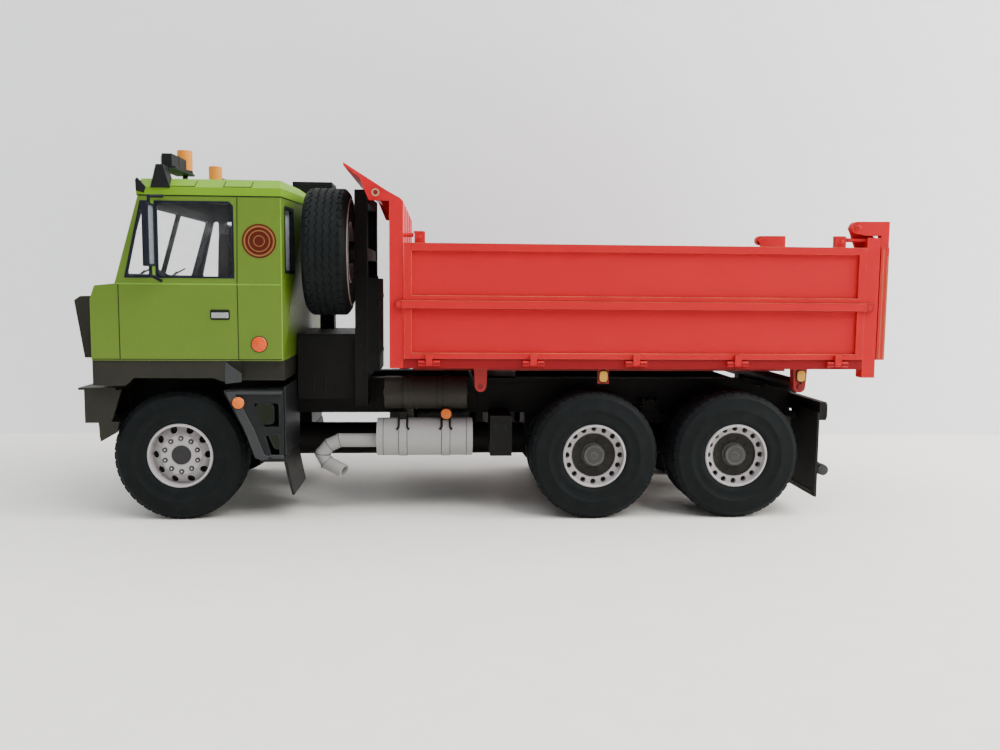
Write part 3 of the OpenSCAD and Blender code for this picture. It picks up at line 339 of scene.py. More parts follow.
# ---- Tyres -----------------------------------------------------------------------------------
# Each tyre is a stack of card discs sanded round and painted matt near-black. Zigzag ribs run round
# the tread, with notched shoulder lugs outside them, and two faint rings on each side wall.


def tyre_finish():
    """Near-black card whose glued layers show as fine lines on the sanded tread."""
    finish = card_finish("tyre_card", (0.0045, 0.0058, 0.0062), (0.016, 0.018, 0.019), mottle=0.55, wear=0.4,
                         gloss=0.66, relief=0.5)
    tree = finish.node_tree
    shader = tree.nodes["Principled BSDF"]
    place = add_node(tree, "TexCoord").outputs["Object"]
    scuff = noise_of(tree, place, 260.0, 4.0, 0.65)
    ink = shader.inputs["Base Color"].links[0].from_socket
    pale = mix_of(tree, math_of(tree, "MULTIPLY", band_of(tree, scuff, 0.5, 0.85), 0.5), ink, (0.012, 0.015, 0.016))
    tree.links.new(pale, shader.inputs["Base Color"])
    layers = add_node(tree, "TexWave", {"bands_direction": "Y"}, {"Vector": place}, Scale=320.0,
                      Distortion=0.6).outputs["Fac"]
    bump = shader.inputs["Normal"].links[0].from_node
    height = bump.inputs["Height"].links[0].from_socket
    tree.links.new(math_of(tree, "ADD", height, math_of(tree, "MULTIPLY", layers, 0.5)), bump.inputs["Height"])
    return finish


tyre_card = tyre_finish()
GROOVE = 0.28
ZIGZAGS = 44


def add_tyre(shape, centre, axis, width, radius, bore, outward=1):
    """A tyre whose inner face is at centre: turned carcass, zigzag ribs and shoulder lugs."""
    base = radius - GROOVE
    wall = [(bore, 0.6), (bore + 0.7, 0.26), (bore + 1.6, 0.2), (bore + 1.9, 0.3), (12.2, 0.12), (12.4, 0.0),
            (13.0, 0.0), (13.2, 0.1), (radius - 1.5, 0.25), (base - 0.5, 0.75), (base - 0.05, 1.4), (base, 1.7)]
    profile = wall + [(r, width - a) for r, a in reversed(wall)]
    add_turned(shape, profile + profile[:1], centre, axis, outward, 88)
    place = PLACES[axis]
    swing = 0.42

    def spot(turn, along, r):
        a = 2 * math.pi * turn / (2 * ZIGZAGS)
        return shape.verts.new((Vector(centre) + Vector(place(r * math.cos(a), r * math.sin(a), along * outward))) * MM)

    ribs = 3 if width < 11 else 4
    first, last = 2.4, width - 2.4
    pitch = (last - first) / ribs
    for rib in range(ribs):
        low, high = first + rib * pitch + 0.2, first + (rib + 1) * pitch - 0.2
        loops = []
        for turn in range(2 * ZIGZAGS):
            zig = swing if turn % 2 else -swing
            loops.append([spot(turn, low + zig * 0.7, base - 0.1), spot(turn, low + zig * 0.7, radius),
                          spot(turn, high + zig * 0.7, radius), spot(turn, high + zig * 0.7, base - 0.1)])
        for turn in range(2 * ZIGZAGS):
            a, b = loops[turn], loops[(turn + 1) % (2 * ZIGZAGS)]
            for k in range(3):
                shape.faces.new((a[k], a[k + 1], b[k + 1], b[k]))
    for mirrored in (False, True):
        for lug in range(ZIGZAGS):
            rows = []
            for turn, zig in ((2 * lug - 0.78, -0.3), (2 * lug + 0.78, 0.3)):
                alongs = [(first - 0.15 + zig, base - 0.2), (first - 0.15 + zig, radius), (1.6, radius - 0.03),
                          (1.15, radius - 0.3), (1.0, base - 0.3)]
                rows.append([spot(turn, width - a if mirrored else a, r) for a, r in alongs])
            a, b = rows
            for k in range(4):
                shape.faces.new((a[k], a[k + 1], b[k + 1], b[k]))
            shape.faces.new(a)
            shape.faces.new(b)


WHEELS = [("front_left", 1, ["tyre_front_left"], "front_left_wheel"),
          ("front_right", -1, ["tyre_front_right"], "front_right_wheel"),
          ("mid_left", 1, ["tyres_mid_left"], "mid_left_wheels"),
          ("mid_right", -1, ["tyres_mid_right"], "mid_right_wheels"),
          ("rear_left", 1, ["tyres_rear_left"], "rear_left_wheels"),
          ("rear_right", -1, ["tyres_rear_right"], "rear_right_wheels")]
tyre_r = axle_z
bore_r = 8.7
FRONT_TYRE_W, REAR_TYRE_W = 9.2, 8.6
for name, side, nodes, body in WHEELS:
    low, high = box_mm(nodes[0])
    inner = low.y if side > 0 else high.y
    outer = high.y if side > 0 else low.y
    x = (low.x + high.x) / 2
    tyres = bmesh.new()
    if "front" in name:
        add_tyre(tyres, (x, inner, axle_z), "y", FRONT_TYRE_W, tyre_r, bore_r, side)
    else:
        add_tyre(tyres, (x, inner, axle_z), "y", REAR_TYRE_W, tyre_r, bore_r, side)
        add_tyre(tyres, (x, outer - side * REAR_TYRE_W, axle_z), "y", REAR_TYRE_W, tyre_r, bore_r, side)
    piece = make_piece(f"tyre_tread_{name}", tyres, tyre_card, body, smooth=28)
    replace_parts(piece, *nodes)

# ---- Rims ------------------------------------------------------------------------------------
# Dished rims of pale grey printed card. The front ones carry ten printed nuts and a dark hub disc;
# the rear ones have a sunk dark drum face with a rolled hub cap standing on it.

rim_card = card_finish("rim_card", (0.36, 0.335, 0.34), (0.8, 0.78, 0.78), mottle=0.16, wear=0.8, gloss=0.42)
nut_grey = card_finish("nut_grey", (0.03, 0.029, 0.03), (0.15, 0.15, 0.15), mottle=0.2, wear=0.6, gloss=0.4)
drum_grey = card_finish("drum_grey", (0.022, 0.021, 0.018), (0.07, 0.07, 0.06), mottle=0.35, wear=0.5, gloss=0.5)
cap_grey = card_finish("cap_grey", (0.045, 0.045, 0.042), (0.2, 0.2, 0.2), mottle=0.3, wear=0.9, gloss=0.45)
HUB_DEPTH, DRUM_DEPTH, RING_DEPTH = 2.0, 3.4, 2.6
for name, side, nodes, body in WHEELS:
    low, high = box_mm(nodes[0])
    face = high.y if side > 0 else low.y
    x = (low.x + high.x) / 2
    rim_node = "rim_" + name
    dress(rim_card, rim_node)
    dark, light = bmesh.new(), bmesh.new()
    if "front" in name:
        hub = face - side * HUB_DEPTH
        for k in range(10):
            a = math.radians(36 * k + 18)
            centre = (x + 4.5 * math.cos(a), hub, axle_z + 4.5 * math.sin(a))
            add_nut(dark, centre, "y", 0.74, 0.34, side)
            add_turned(light, [(0, 0.3), (0.24, 0.3), (0.24, 0.46), (0.14, 0.52), (0, 0.52)], centre, "y", side, 10)
        add_turned(dark, [(0, 0.0), (2.6, 0.0), (2.6, 0.14), (0, 0.14)], (x, hub, axle_z), "y", side, 48)
        # Dark ring behind the hand holes.
        add_turned(dark, [(5.6, -2.95), (8.2, -2.95), (8.2, -3.1), (5.6, -3.1), (5.6, -2.95)],
                   (x, hub, axle_z), "y", side, 64)
        for r in (5.45, 5.75):
            add_turned(dark, [(r - 0.05, -0.02), (r - 0.05, 0.04), (r + 0.05, 0.04), (r + 0.05, -0.02),
                              (r - 0.05, -0.02)],
                       (x, hub, axle_z), "y", side, 64)
        make_piece(f"rim_nuts_{name}", dark, nut_grey, body)
        make_piece(f"rim_nut_studs_{name}", light, rim_card, body)
    else:
        drum = face - side * DRUM_DEPTH
        step = DRUM_DEPTH - RING_DEPTH
        add_turned(dark, [(0, 0.05), (5.7, 0.05), (5.94, 0.12), (5.94, step - 0.05), (6.12, step + 0.03),
                          (6.12, step - 0.05),
                          (6.0, step - 0.1)], (x, drum, axle_z), "y", side, 72)
        for k in range(10):
            a = math.radians(36 * k)
            add_nut(dark, (x + 4.4 * math.cos(a), drum + side * 0.05, axle_z + 4.4 * math.sin(a)), "y", 0.42, 0.3, side)
        add_turned(light, [(3.3, 0.04), (3.2, 0.35), (2.86, 0.5), (2.86, 1.95), (2.74, 2.14), (2.36, 2.16), (2.3, 2.06),
                           (0.9, 2.06), (0.85, 2.12), (0, 2.12)], (x, drum, axle_z), "y", side, 56)
        add_turned(dark, [(6.7, -0.06), (8.1, -0.06), (8.1, -0.2), (6.7, -0.2), (6.7, -0.06)], (x, drum, axle_z), "y",
                   side, 72)
        for k in range(16):
            a = 2 * math.pi * k / 16
            spot = (x + 7.3 * math.cos(a), face - side * RING_DEPTH, axle_z + 7.3 * math.sin(a))
            add_turned(dark, [(0.6, -0.02), (0.6, 0.05), (0.74, 0.05), (0.74, -0.02), (0.6, -0.02)], spot, "y", side,
                       18)
        make_piece(f"rim_drum_{name}", dark, drum_grey, body)
        make_piece(f"rim_cap_{name}", light, cap_grey, body)

# ---- Cab shell and roof ----------------------------------------------------------------------
# One folded shell of green printed card with a roof cap glued on, printed a lighter green as painted light from above.
# Door seams, the gutter and the panel edges are printed lines; pale strips along the folds at the waist and corners are
# painted highlights.

green_card = card_finish("green_card", (0.088, 0.158, 0.011), (0.3, 0.45, 0.08), mottle=0.14, wear=0.75, gloss=0.4)
# Roof ink lighter and yellower than the cab's green: painted light from above on the top.
roof_green_lit = card_finish("roof_green_lit", (0.135, 0.285, 0.008), (0.3, 0.5, 0.08), mottle=0.1, wear=0.6, gloss=0.5,
                         sheen=0.15)
lining_card = card_finish("lining_card", (0.008, 0.009, 0.011), (0.03, 0.03, 0.03), mottle=0.2, wear=0.2)
seam_ink = card_finish("seam_ink", (0.009, 0.012, 0.006), (0.03, 0.04, 0.02), mottle=0.2, wear=0.0)
# Pale green card for the vent bars, also used for the painted highlight strips along the cab's folds.
pale_green_and_fold_highlight = card_finish("pale_green_and_fold_highlight", (0.15, 0.3, 0.03), (0.25, 0.42, 0.08), mottle=0.25, wear=0.4, gloss=0.5,
                        sheen=0.15)
dress(green_card, "cab_shell")
dress(roof_green_lit, "cab_roof")

cab_low, cab_high = box_mm("cab_shell")
cab_y = cab_high.y
cab_floor = cab_low.z
eaves = cab_high.z
WAIST = 63.0
CAB_CORNER = 28.1
cab_middle = Vector((at(5), 0, (cab_floor + eaves) / 2))
for node in ("cab_shell", "cab_roof"):
    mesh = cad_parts[node].data
    mesh.materials.append(lining_card)
    for face in mesh.polygons:
        inward = (cab_middle * MM - face.center).dot(face.normal) > 0
        sunk = abs(face.center.y) < (cab_y - 0.5) * MM or abs(face.normal.y) < 0.5
        post = abs(face.center.y) < 1 * MM and face.normal.x < 0.5
        if inward and sunk or post:
            face.material_index = 1

# Dark printed seams, and pale strips along the waist fold and the back corner that are painted highlights.
seams, fold_highlights = bmesh.new(), bmesh.new()
INK = 0.05
for side in (1, -1):
    y0, y1 = span(side, cab_y - 0.02, cab_y + INK)
    for path in ([(at(-13.5), cab_floor + 0.2), (at(-13.5), WAIST - 0.1)],
                 [(at(16.7), cab_floor + 0.2), (at(16.6), WAIST), (at(17.0), eaves - 0.2)],
                 [(at(-20.3), cab_floor + 0.3), (at(27.9), cab_floor + 0.3)]):
        add_line(seams, path, 0.2, "y", y0, y1)
    add_line(fold_highlights, [(at(-13.9), WAIST), (at(CAB_CORNER - 0.1), WAIST)], 0.34, "y", y0, y1)
    add_line(fold_highlights, [(at(CAB_CORNER - 0.16), cab_floor + 0.3), (at(CAB_CORNER - 0.16), eaves - 0.4)], 0.26, "y", y0, y1)
gutter = [(at(-7.95), cab_y), (at(CAB_CORNER), cab_y), (at(30.5), cab_y - 24), (at(30.5), 24 - cab_y),
          (at(CAB_CORNER), -cab_y), (at(-7.95), -cab_y)]
add_line(seams, gutter, 0.14, "z", eaves - 0.16, eaves + 0.14, closed=True)
make_piece("cab_seams", seams, seam_ink, "chassis")
make_piece("cab_fold_highlights", fold_highlights, pale_green_and_fold_highlight, "chassis")

# Two hatch outlines are printed on each side of the roof's bevel.
fold_z = eaves + 2.2
hatches = bmesh.new()
for side in (1, -1):
    for s0, s1 in ((-0.8, 6.4), (13.6, 20.6)):
        edge_y, in_y = side * (cab_y - 0.15), side * (cab_y - 3.1)
        add_tube(hatches, [(at(s0), in_y, fold_z + 1.75), (at(s0), edge_y, fold_z + 0.12),
                           (at(s1), edge_y, fold_z + 0.12), (at(s1), in_y, fold_z + 1.75)], 0.15, 6)
make_piece("roof_hatch_lines", hatches, seam_ink, "chassis")

# Door handles: a dark printed recess with a strip of silver card across it.
silver_card = card_finish("silver_card", (0.26, 0.27, 0.27), (0.8, 0.8, 0.8), mottle=0.15, wear=0.6, gloss=0.3)
recesses, grips = bmesh.new(), bmesh.new()
for side in (1, -1):
    y = cab_y
    add_prism(recesses, [(at(9.6), 54.1), (at(9.9), 53.8), (at(14.3), 53.8), (at(14.6), 54.1), (at(14.6), 56.2),
                         (at(14.3), 56.5), (at(9.9), 56.5), (at(9.6), 56.2)], "y", *span(side, y, y + 0.07))
    add_prism(grips, [(at(9.95), 54.3), (at(14.25), 54.3), (at(14.25), 55.7), (at(9.95), 55.7)], "y",
              *span(side, y, y + 0.42))
make_piece("door_handle_recesses", recesses, seam_ink, "chassis")
make_piece("door_handles", grips, silver_card, "chassis", round_off=0.12)

# A plain painted roundel of concentric rings on each side, behind the door.
roundel_brown = card_finish("roundel_brown", (0.07, 0.009, 0.004), (0.2, 0.06, 0.03), mottle=0.2, wear=0.3, gloss=0.4)
roundel_gold = card_finish("roundel_gold", (0.2, 0.085, 0.02), (0.4, 0.22, 0.08), mottle=0.2, wear=0.3, gloss=0.4)
brown, gold = bmesh.new(), bmesh.new()
for side in (1, -1):
    centre = (at(22.4), side * cab_y, 74.2)
    for shape, r0, r1, top in ((brown, 3.95, 4.4, 0.05), (gold, 3.55, 3.95, 0.05), (brown, 0, 3.55, 0.05),
                               (gold, 2.55, 2.8, 0.08), (gold, 1.25, 1.45, 0.08)):
        add_turned(shape, [(r0, -0.02), (r0, top), (r1, top), (r1, -0.02), (r0, -0.02)], centre, "y", side, 56)
make_piece("roundel_field", brown, roundel_brown, "chassis")
make_piece("roundel_rings", gold, roundel_gold, "chassis")


def lamp_finish(name, ink):
    """Glossy coloured card or film of a lamp, under a thin clear coat."""
    finish = card_finish(name, ink, tuple(min(1.0, c * 1.4 + 0.1) for c in ink), mottle=0.15, wear=0.4, gloss=0.28,
                         relief=0.1)
    shader = finish.node_tree.nodes["Principled BSDF"]
    shader.inputs["Coat Weight"].default_value = 0.15
    shader.inputs["Coat Roughness"].default_value = 0.15
    return finish


orange_lens = lamp_finish("orange_lens", (0.6, 0.06, 0.002))
amber_lens = lamp_finish("amber_lens", (0.62, 0.125, 0.004))


def add_round_lamp(lens, ring, centre, axis, outward, radius):
    """A domed round lens with stepped rings, in a thin dark surround."""
    add_turned(lens, [(0, 0.5), (radius * 0.3, 0.5), (radius * 0.36, 0.44), (radius * 0.62, 0.44),
                      (radius * 0.68, 0.36),
                      (radius * 0.92, 0.34), (radius, 0.2), (radius, -0.05)], centre, axis, outward, 40)
    add_turned(ring, [(radius, -0.02), (radius, 0.16), (radius + 0.18, 0.12), (radius + 0.2, -0.02)], centre, axis,
               outward, 40)


lens, ring = bmesh.new(), bmesh.new()
for side in (1, -1):
    add_round_lamp(lens, ring, (at(22), side * cab_y, 47.5), "y", side, 1.95)
make_piece("cab_reflectors", lens, orange_lens, "chassis")
make_piece("cab_reflector_rims", ring, seam_ink, "chassis")

# Black visor glued round the front edge of the roof, ending in a small wing on each side.
visor = bmesh.new()
add_prism(visor, [(at(-8.3), 86.2), (at(-7.7), 86.2), (at(-7.4), 89.2), (at(-8.1), 89.5)], "y", -cab_y + 0.2,
          cab_y - 0.2)
for side in (1, -1):
    add_prism(visor, [(at(-8.3), 86.6), (at(-6.3), 86.1), (at(-5.8), 87.6), (at(-7.9), 89.9), (at(-8.4), 89.4)], "y",
              *span(side, cab_y - 0.4, cab_y + 0.25))
black_card_soft = card_finish("visor_card", (0.009, 0.009, 0.011), (0.05, 0.05, 0.055), mottle=0.25, wear=0.6)
make_piece("roof_visor", visor, black_card_soft, "chassis", round_off=0.1)

# ---- Windows and inside of the cab ---------------------------------------------------------------
# Clear film glued behind the openings, whose cut edges are inked dark. Inside are two folded seats,
# a dashboard box and a steering wheel of thin card.


def add_frame(shape, outer, inner, axis, low, high):
    """The flat ring between two closed outlines, made solid along axis."""
    from mathutils.geometry import tessellate_polygon
    place = PLACES[axis]
    loops = [[Vector((*p, 0)) for p in outer], [Vector((*p, 0)) for p in inner]]
    flat = [p for loop in loops for p in loop]
    caps = [[shape.verts.new(Vector(place(p.x, p.y, w)) * MM) for p in flat] for w in (low, high)]
    for triangle in tessellate_polygon(loops):
        for cap in caps:
            shape.faces.new([cap[i] for i in triangle])
    start = 0
    for loop in loops:
        count = len(loop)
        for i in range(count):
            a, b = start + i, start + (i + 1) % count
            shape.faces.new((caps[0][a], caps[0][b], caps[1][b], caps[1][a]))
        start += count


def inset(outline, by, corner, steps=4):
    """The outline drawn in by a distance, with its corners rounded to a radius."""
    points = [Vector(p) for p in outline]
    area = sum(points[i - 1].x * p.y - p.x * points[i - 1].y for i, p in enumerate(points))
    turn = 1 if area > 0 else -1
    drawn = []
    for i, p in enumerate(points):
        d0 = (p - points[i - 1]).normalized()
        d1 = (points[(i + 1) % len(points)] - p).normalized()
        n0, n1 = Vector((-d0.y, d0.x)) * turn, Vector((-d1.y, d1.x)) * turn
        drawn.append(p + (n0 + n1) * (by / (1 + n0.dot(n1))))
    if not corner:
        return [tuple(p) for p in drawn]
    rounded = []
    for i, p in enumerate(drawn):
        before, after = drawn[i - 1] - p, drawn[(i + 1) % len(drawn)] - p
        reach = min(corner, before.length * 0.45, after.length * 0.45)
        a, b = p + before.normalized() * reach, p + after.normalized() * reach
        for k in range(steps + 1):
            t = k / steps
            rounded.append(tuple(a * (1 - t) ** 2 + p * 2 * t * (1 - t) + b * t ** 2))
    return rounded


def film_finish(name, alpha, roughness):
    """Clear film: mostly see-through, with cloudy smears where it was handled."""
    finish, tree, shader = new_finish(name)
    place = add_node(tree, "TexCoord").outputs["Object"]
    streak = add_node(tree, "Mapping", {"vector_type": "POINT"}, {"Vector": place}, Rotation=(0.0, 0.7, 0.0),
                      Scale=(1.0, 1.0, 5.0))
    smear = noise_of(tree, streak.outputs[0], 30.0, 3.0, 0.6)
    haze = math_of(tree, "ADD", math_of(tree, "MULTIPLY", band_of(tree, smear, 0.5, 0.8), 0.07), alpha)
    tree.links.new(haze, shader.inputs["Alpha"])
    tree.links.new(mix_of(tree, smear, (0.75, 0.78, 0.83), (0.85, 0.88, 0.92)), shader.inputs["Base Color"])
    tree.links.new(math_of(tree, "ADD", math_of(tree, "MULTIPLY", smear, 0.12), roughness), shader.inputs["Roughness"])
    shader.inputs["Specular IOR Level"].default_value = 0.2
    return finish


clear_film = film_finish("clear_film", 0.015, 0.03)
hazy_film = film_finish("hazy_film", 0.62, 0.2)
dress(clear_film, "windscreen", "side_glass")
dress(hazy_film, "rear_glass")

WIN_LOW, WIN_HIGH = 64.7, 84.0
VENT = [(-11.7, WIN_LOW), (-7.3, WIN_HIGH), (-5.1, WIN_HIGH), (-5.1, WIN_LOW)]
DOOR = [(-3.7, WIN_LOW), (-3.7, WIN_HIGH), (14.8, WIN_HIGH), (15.8, 83.0), (15.8, WIN_LOW)]
gasket = card_finish("window_edge_ink", (0.008, 0.009, 0.018), (0.03, 0.03, 0.05), mottle=0.2, wear=0.0, gloss=0.45)
edges, bar = bmesh.new(), bmesh.new()
for side in (1, -1):
    low, high = span(side, cab_y - 1.02, cab_y + 0.06)
    for outline in (VENT, DOOR):
        placed = [(at(s), z) for s, z in outline]
        add_frame(edges, inset(placed, -0.18, 0), inset(placed, 0.32, 1.5), "y", low, high)
    add_line(bar, [(at(-4.4), WIN_LOW - 0.1), (at(-4.4), WIN_HIGH + 0.1)], 0.5, "y",
             *span(side, cab_y - 0.05, cab_y + 0.12))
make_piece("side_window_edges", edges, gasket, "chassis")
make_piece("vent_window_bars", bar, pale_green_and_fold_highlight, "chassis", round_off=0.06)

# Each back window lies in the angled back wall: its edge strip is turned to the wall's plane.
wall_turn = math.atan2(24, 2.4)
back_edges = bmesh.new()
for side in (1, -1):
    strip = bmesh.new()
    outline = [(-4.25, 66.4), (4.25, 66.4), (4.25, 83.0), (-4.25, 83.0)]
    add_frame(strip, inset(outline, -0.5, 0.4), inset(outline, 0.35, 1.1), "y", -1.0, 0.08)
    bmesh.ops.rotate(strip, verts=strip.verts, cent=(0, 0, 0), matrix=Matrix.Rotation(wall_turn, 3, "Z"))
    shift = Vector((at(CAB_CORNER + 2.4 * 0.32), cab_y - 24 * 0.32, 0)) * MM
    for v in strip.verts:
        v.co = v.co + shift
        v.co.y *= side
    part = bpy.data.meshes.new("part")
    strip.to_mesh(part)
    strip.free()
    back_edges.from_mesh(part)
    bpy.data.meshes.remove(part)
make_piece("back_window_edges", back_edges, gasket, "chassis")

# Windscreen surround, its middle bar, and two wipers of thin wire lying on the screen.
screen_lean = 6.5 / 22.5


def on_screen(y, z, proud=0.0):
    """A point on the windscreen's outer face, proud millimetres in front of it."""
    return (at(-14.4 + (z - WAIST) * screen_lean) + proud, y, z + proud * screen_lean)


surround = bmesh.new()
for side in (1, -1):
    corners = [(0.6, 65.3), (34.4, 65.3), (34.4, 83.4), (0.6, 83.4)]
    ring_points = inset(corners, 0.05, 1.4)
    path = [on_screen(side * y, z, 0.05) for y, z in ring_points]
    add_tube(surround, path + path[:1], 0.28, 8)
make_piece("windscreen_surround", surround, gasket, "chassis")
wipers = bmesh.new()
for y0 in (26.0, -6.0):
    pivot = on_screen(y0, 62.6, 0.5)
    wrist = on_screen(y0 - 11.5, 66.4, 0.75)
    add_tube(wipers, [on_screen(y0, 62.6, -0.2), pivot, wrist], 0.22, 8)
    add_tube(wipers, [on_screen(y0 - 3.6, 64.4, 0.5), on_screen(y0 - 11, 66.1, 0.5), on_screen(y0 - 19, 67.6, 0.5)],
             0.26, 8)
    add_turned(wipers, [(0, 0), (0.75, 0), (0.75, 0.5), (0.45, 0.9), (0, 0.9)], on_screen(y0, 62.6, 0.0), "x", 1, 14)
make_piece("wipers", wipers, gasket, "chassis")

seat_card = card_finish("seat_card", (0.016, 0.01, 0.008), (0.05, 0.04, 0.03), mottle=0.3, wear=0.5)
trim_card = card_finish("dash_card", (0.012, 0.012, 0.012), (0.05, 0.05, 0.05), mottle=0.25, wear=0.5)
dress(trim_card, "dashboard", "steering_wheel")
seats = bmesh.new()
for y in (18, -18):
    add_block(seats, at(10), at(3.6), y - 5, y + 5, cab_floor + 1, cab_floor + 10)
    add_prism(seats, [(at(1), 54.2), (at(0.6), 56.6), (at(1.6), 57.7), (at(10.6), 57.4), (at(12), 54.2)], "y", y - 7,
              y + 7)
    add_prism(seats, [(at(8.2), 57.2), (at(8.9), 75.0), (at(9.5), 76.4), (at(10.8), 76.4), (at(11.6), 75.0),
                      (at(12), 57.2)],
              "y", y - 6.6, y + 6.6)
    add_prism(seats, [(at(9.3), 76.2), (at(9.5), 78.6), (at(10.1), 79.0), (at(11.0), 78.6), (at(11.0), 76.2)], "y",
              y - 3.4, y + 3.4)
    for dy in (-3.3, 0, 3.3):
        add_block(seats, at(8.75), at(8.2), y + dy - 0.12, y + dy + 0.12, 59.5, 74.5)
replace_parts(make_piece("seat_boxes", seats, seat_card, "chassis", round_off=0.35), "seats")
dials = bmesh.new()
for dy in (-4.5, 0.0, 4.5):
    add_turned(dials, [(0, 0.15), (1.5, 0.15), (1.5, 0.32), (1.75, 0.32), (1.8, -0.3)],
               (at(-12.0), 18 + dy, 59.6), "z", 1, 24)
make_piece("dash_dials", dials, silver_card, "chassis")

# ---- Mirrors -------------------------------------------------------------------------------------
# Tall black boxes on bent wire, with silvered film glued to their back faces.

mirror_card = card_finish("mirror_card", (0.007, 0.008, 0.014), (0.04, 0.04, 0.05), mottle=0.2, wear=0.6)
dress(mirror_card, "mirror_left", "mirror_right")
mirror_film, tree, shader = new_finish("mirror_film")
place = add_node(tree, "TexCoord").outputs["Object"]
cloudy = noise_of(tree, place, 200.0, 3.0)
tree.links.new(mix_of(tree, cloudy, (0.45, 0.5, 0.58), (0.6, 0.66, 0.74)), shader.inputs["Base Color"])
tree.links.new(math_of(tree, "ADD", math_of(tree, "MULTIPLY", cloudy, 0.2), 0.1), shader.inputs["Roughness"])
shader.inputs["Metallic"].default_value = 0.7
panes = bmesh.new()
lips = bmesh.new()
for side in (1, -1):
    plate_y0, plate_y1 = cab_y + 2.4, cab_y + 8.0
    plate_x = at(-4.0) - 0.6
    outline = [(side * (plate_y0 + 0.5), 67.9), (side * (plate_y1 - 0.5), 67.9), (side * (plate_y1 - 0.5), 82.6),
               (side * (plate_y0 + 0.5), 82.6)]
    add_prism(panes, inset(outline, 0, 0.6), "x", plate_x - 0.06, plate_x + 0.02)
    full = inset(outline, -0.45, 0.6)
    add_frame(lips, full, inset(outline, 0.05, 0.5), "x", plate_x - 0.3, plate_x + 0.1)
make_piece("mirror_panes", panes, mirror_film, "chassis")
make_piece("mirror_lips", lips, mirror_card, "chassis")

# ---- Roof light bars and beacons -------------------------------------------------------------
# On each side a card bracket carries a plate with two black lamp boxes and an orange rolled-card
# beacon on a short stub.

bar_card = card_finish("bar_card", (0.009, 0.0095, 0.01), (0.045, 0.045, 0.05), mottle=0.25, wear=0.55)
green_edge = card_finish("green_edge", (0.012, 0.03, 0.018), (0.05, 0.1, 0.06), mottle=0.3, wear=0.5)
dress(bar_card, "roof_light_bars")
bar_high = box_mm("roof_light_bars")[1]
lamp_glass, lamp_split, plate_edge = bmesh.new(), bmesh.new(), bmesh.new()
lamp_front = bar_high.x - 1.55
for side in (1, -1):
    for k in range(2):
        y0 = side * (20.6 + 7.0 * k)
        y1 = side * (20.6 + 7.0 * k + 6.1)
        outline = inset([(y0, 93.6), (y1, 93.6), (y1, 96.3), (y0, 96.3)], 0, 0.7)
        add_prism(lamp_glass, outline, "x", lamp_front - 0.1, lamp_front + 0.22)
    y = side * 27.2
    add_block(lamp_split, at(-0.2), at(-4.4), y - 0.28, y + 0.28, 93.2, 96.75)
    y0, y1 = span(side, 15.2, 34.3)
    add_block(plate_edge, at(0.5), at(-4.3), y0, y1, 92.78, 92.96)
    for s in (-3.4, -1.6):
        add_nut(lamp_split, (at(s), side * 34.1, 92.5), "y", 0.4, 0.3, side)
make_piece("light_bar_lamps", lamp_glass, mirror_film, "chassis", round_off=0.12)
make_piece("light_bar_splits", lamp_split, bar_card, "chassis", round_off=0.06)
make_piece("light_bar_plates", plate_edge, green_edge, "chassis")

beacon_orange = card_finish("beacon_orange", (0.7, 0.24, 0.014), (0.8, 0.35, 0.06), mottle=0.25, wear=0.5, gloss=0.4)
dress(beacon_orange, "beacons")
collars, tops = bmesh.new(), bmesh.new()
beacon_top = box_mm("beacons")[1].z
beacon_foot = box_mm("beacons")[0].z
for y in (17.5, -17.5):
    centre = (at(-1.4), y, beacon_foot)
    add_turned(collars, [(1.9, 0), (2.08, 0), (2.12, 0.4), (2.02, 0.72), (1.9, 0.74)], centre, "z", 1, 40)
    for k in range(20):
        a = 2 * math.pi * k / 20
        x, dy = at(-1.4) + 1.95 * math.cos(a), 1.95 * math.sin(a)
        add_tube(tops, [(x, y + dy, beacon_foot + 1.0), (x, y + dy, beacon_top - 0.25)], 0.07, 5)
    add_turned(tops, [(1.95, -0.3), (1.99, -0.1), (1.85, 0.03), (1.6, 0.03), (1.5, -0.05), (0, -0.02)],
               (at(-1.4), y, beacon_top), "z", 1, 40)
make_piece("beacon_collars", collars, bar_card, "chassis")
make_piece("beacon_ribs", tops, beacon_orange, "chassis")

# ---- Grille, bumper and skirt --------------------------------------------------------------------
# Brown-grey printed card boxes. The grille has glued louvre strips, the bumper carries framed
# headlamps and a blank plate, and the skirt closes the wheel arch below the cab.

dark_card = card_finish("dark_card", (0.022, 0.0215, 0.0165), (0.07, 0.068, 0.06), mottle=0.4, wear=0.6, gloss=0.5)
# Grey card for the underrun bands, also used for the painted highlights on the skirt's fold and the steps' guard
# strips.
grey_bands_and_lit_bevels = card_finish("grey_bands_and_lit_bevels", (0.036, 0.038, 0.04), (0.1, 0.1, 0.1), mottle=0.3, wear=0.5, gloss=0.45)
dress(dark_card, "grille", "bumper", "cab_skirt")
grille_low, grille_high = box_mm("grille")
slats = bmesh.new()
face_lean = 2.3 / (grille_high.z - 1.1 - grille_low.z)
for k in range(9):
    z = grille_low.z + 1.6 + k * 1.55
    x = grille_high.x - (grille_high.z - 1.1 - z) * face_lean
    add_prism(slats, [(x - 0.5, z), (x + 0.2, z - 0.18), (x + 0.26, z + 0.3), (x - 0.3, z + 0.62)], "y", -27.5, 27.5)
for y in (-28.3, -9.4, 9.4, 28.3):
    x0 = grille_high.x - (grille_high.z - 2.2 - grille_low.z) * face_lean
    add_prism(slats, [(x0 - 0.3, grille_low.z + 0.6), (x0 + 0.34, grille_low.z + 0.6),
                      (grille_high.x + 0.26, grille_high.z - 1.8),
                      (grille_high.x - 0.6, grille_high.z - 1.6)], "y", y - 0.45, y + 0.45)
make_piece("grille_slats", slats, dark_card, "chassis", round_off=0.06)

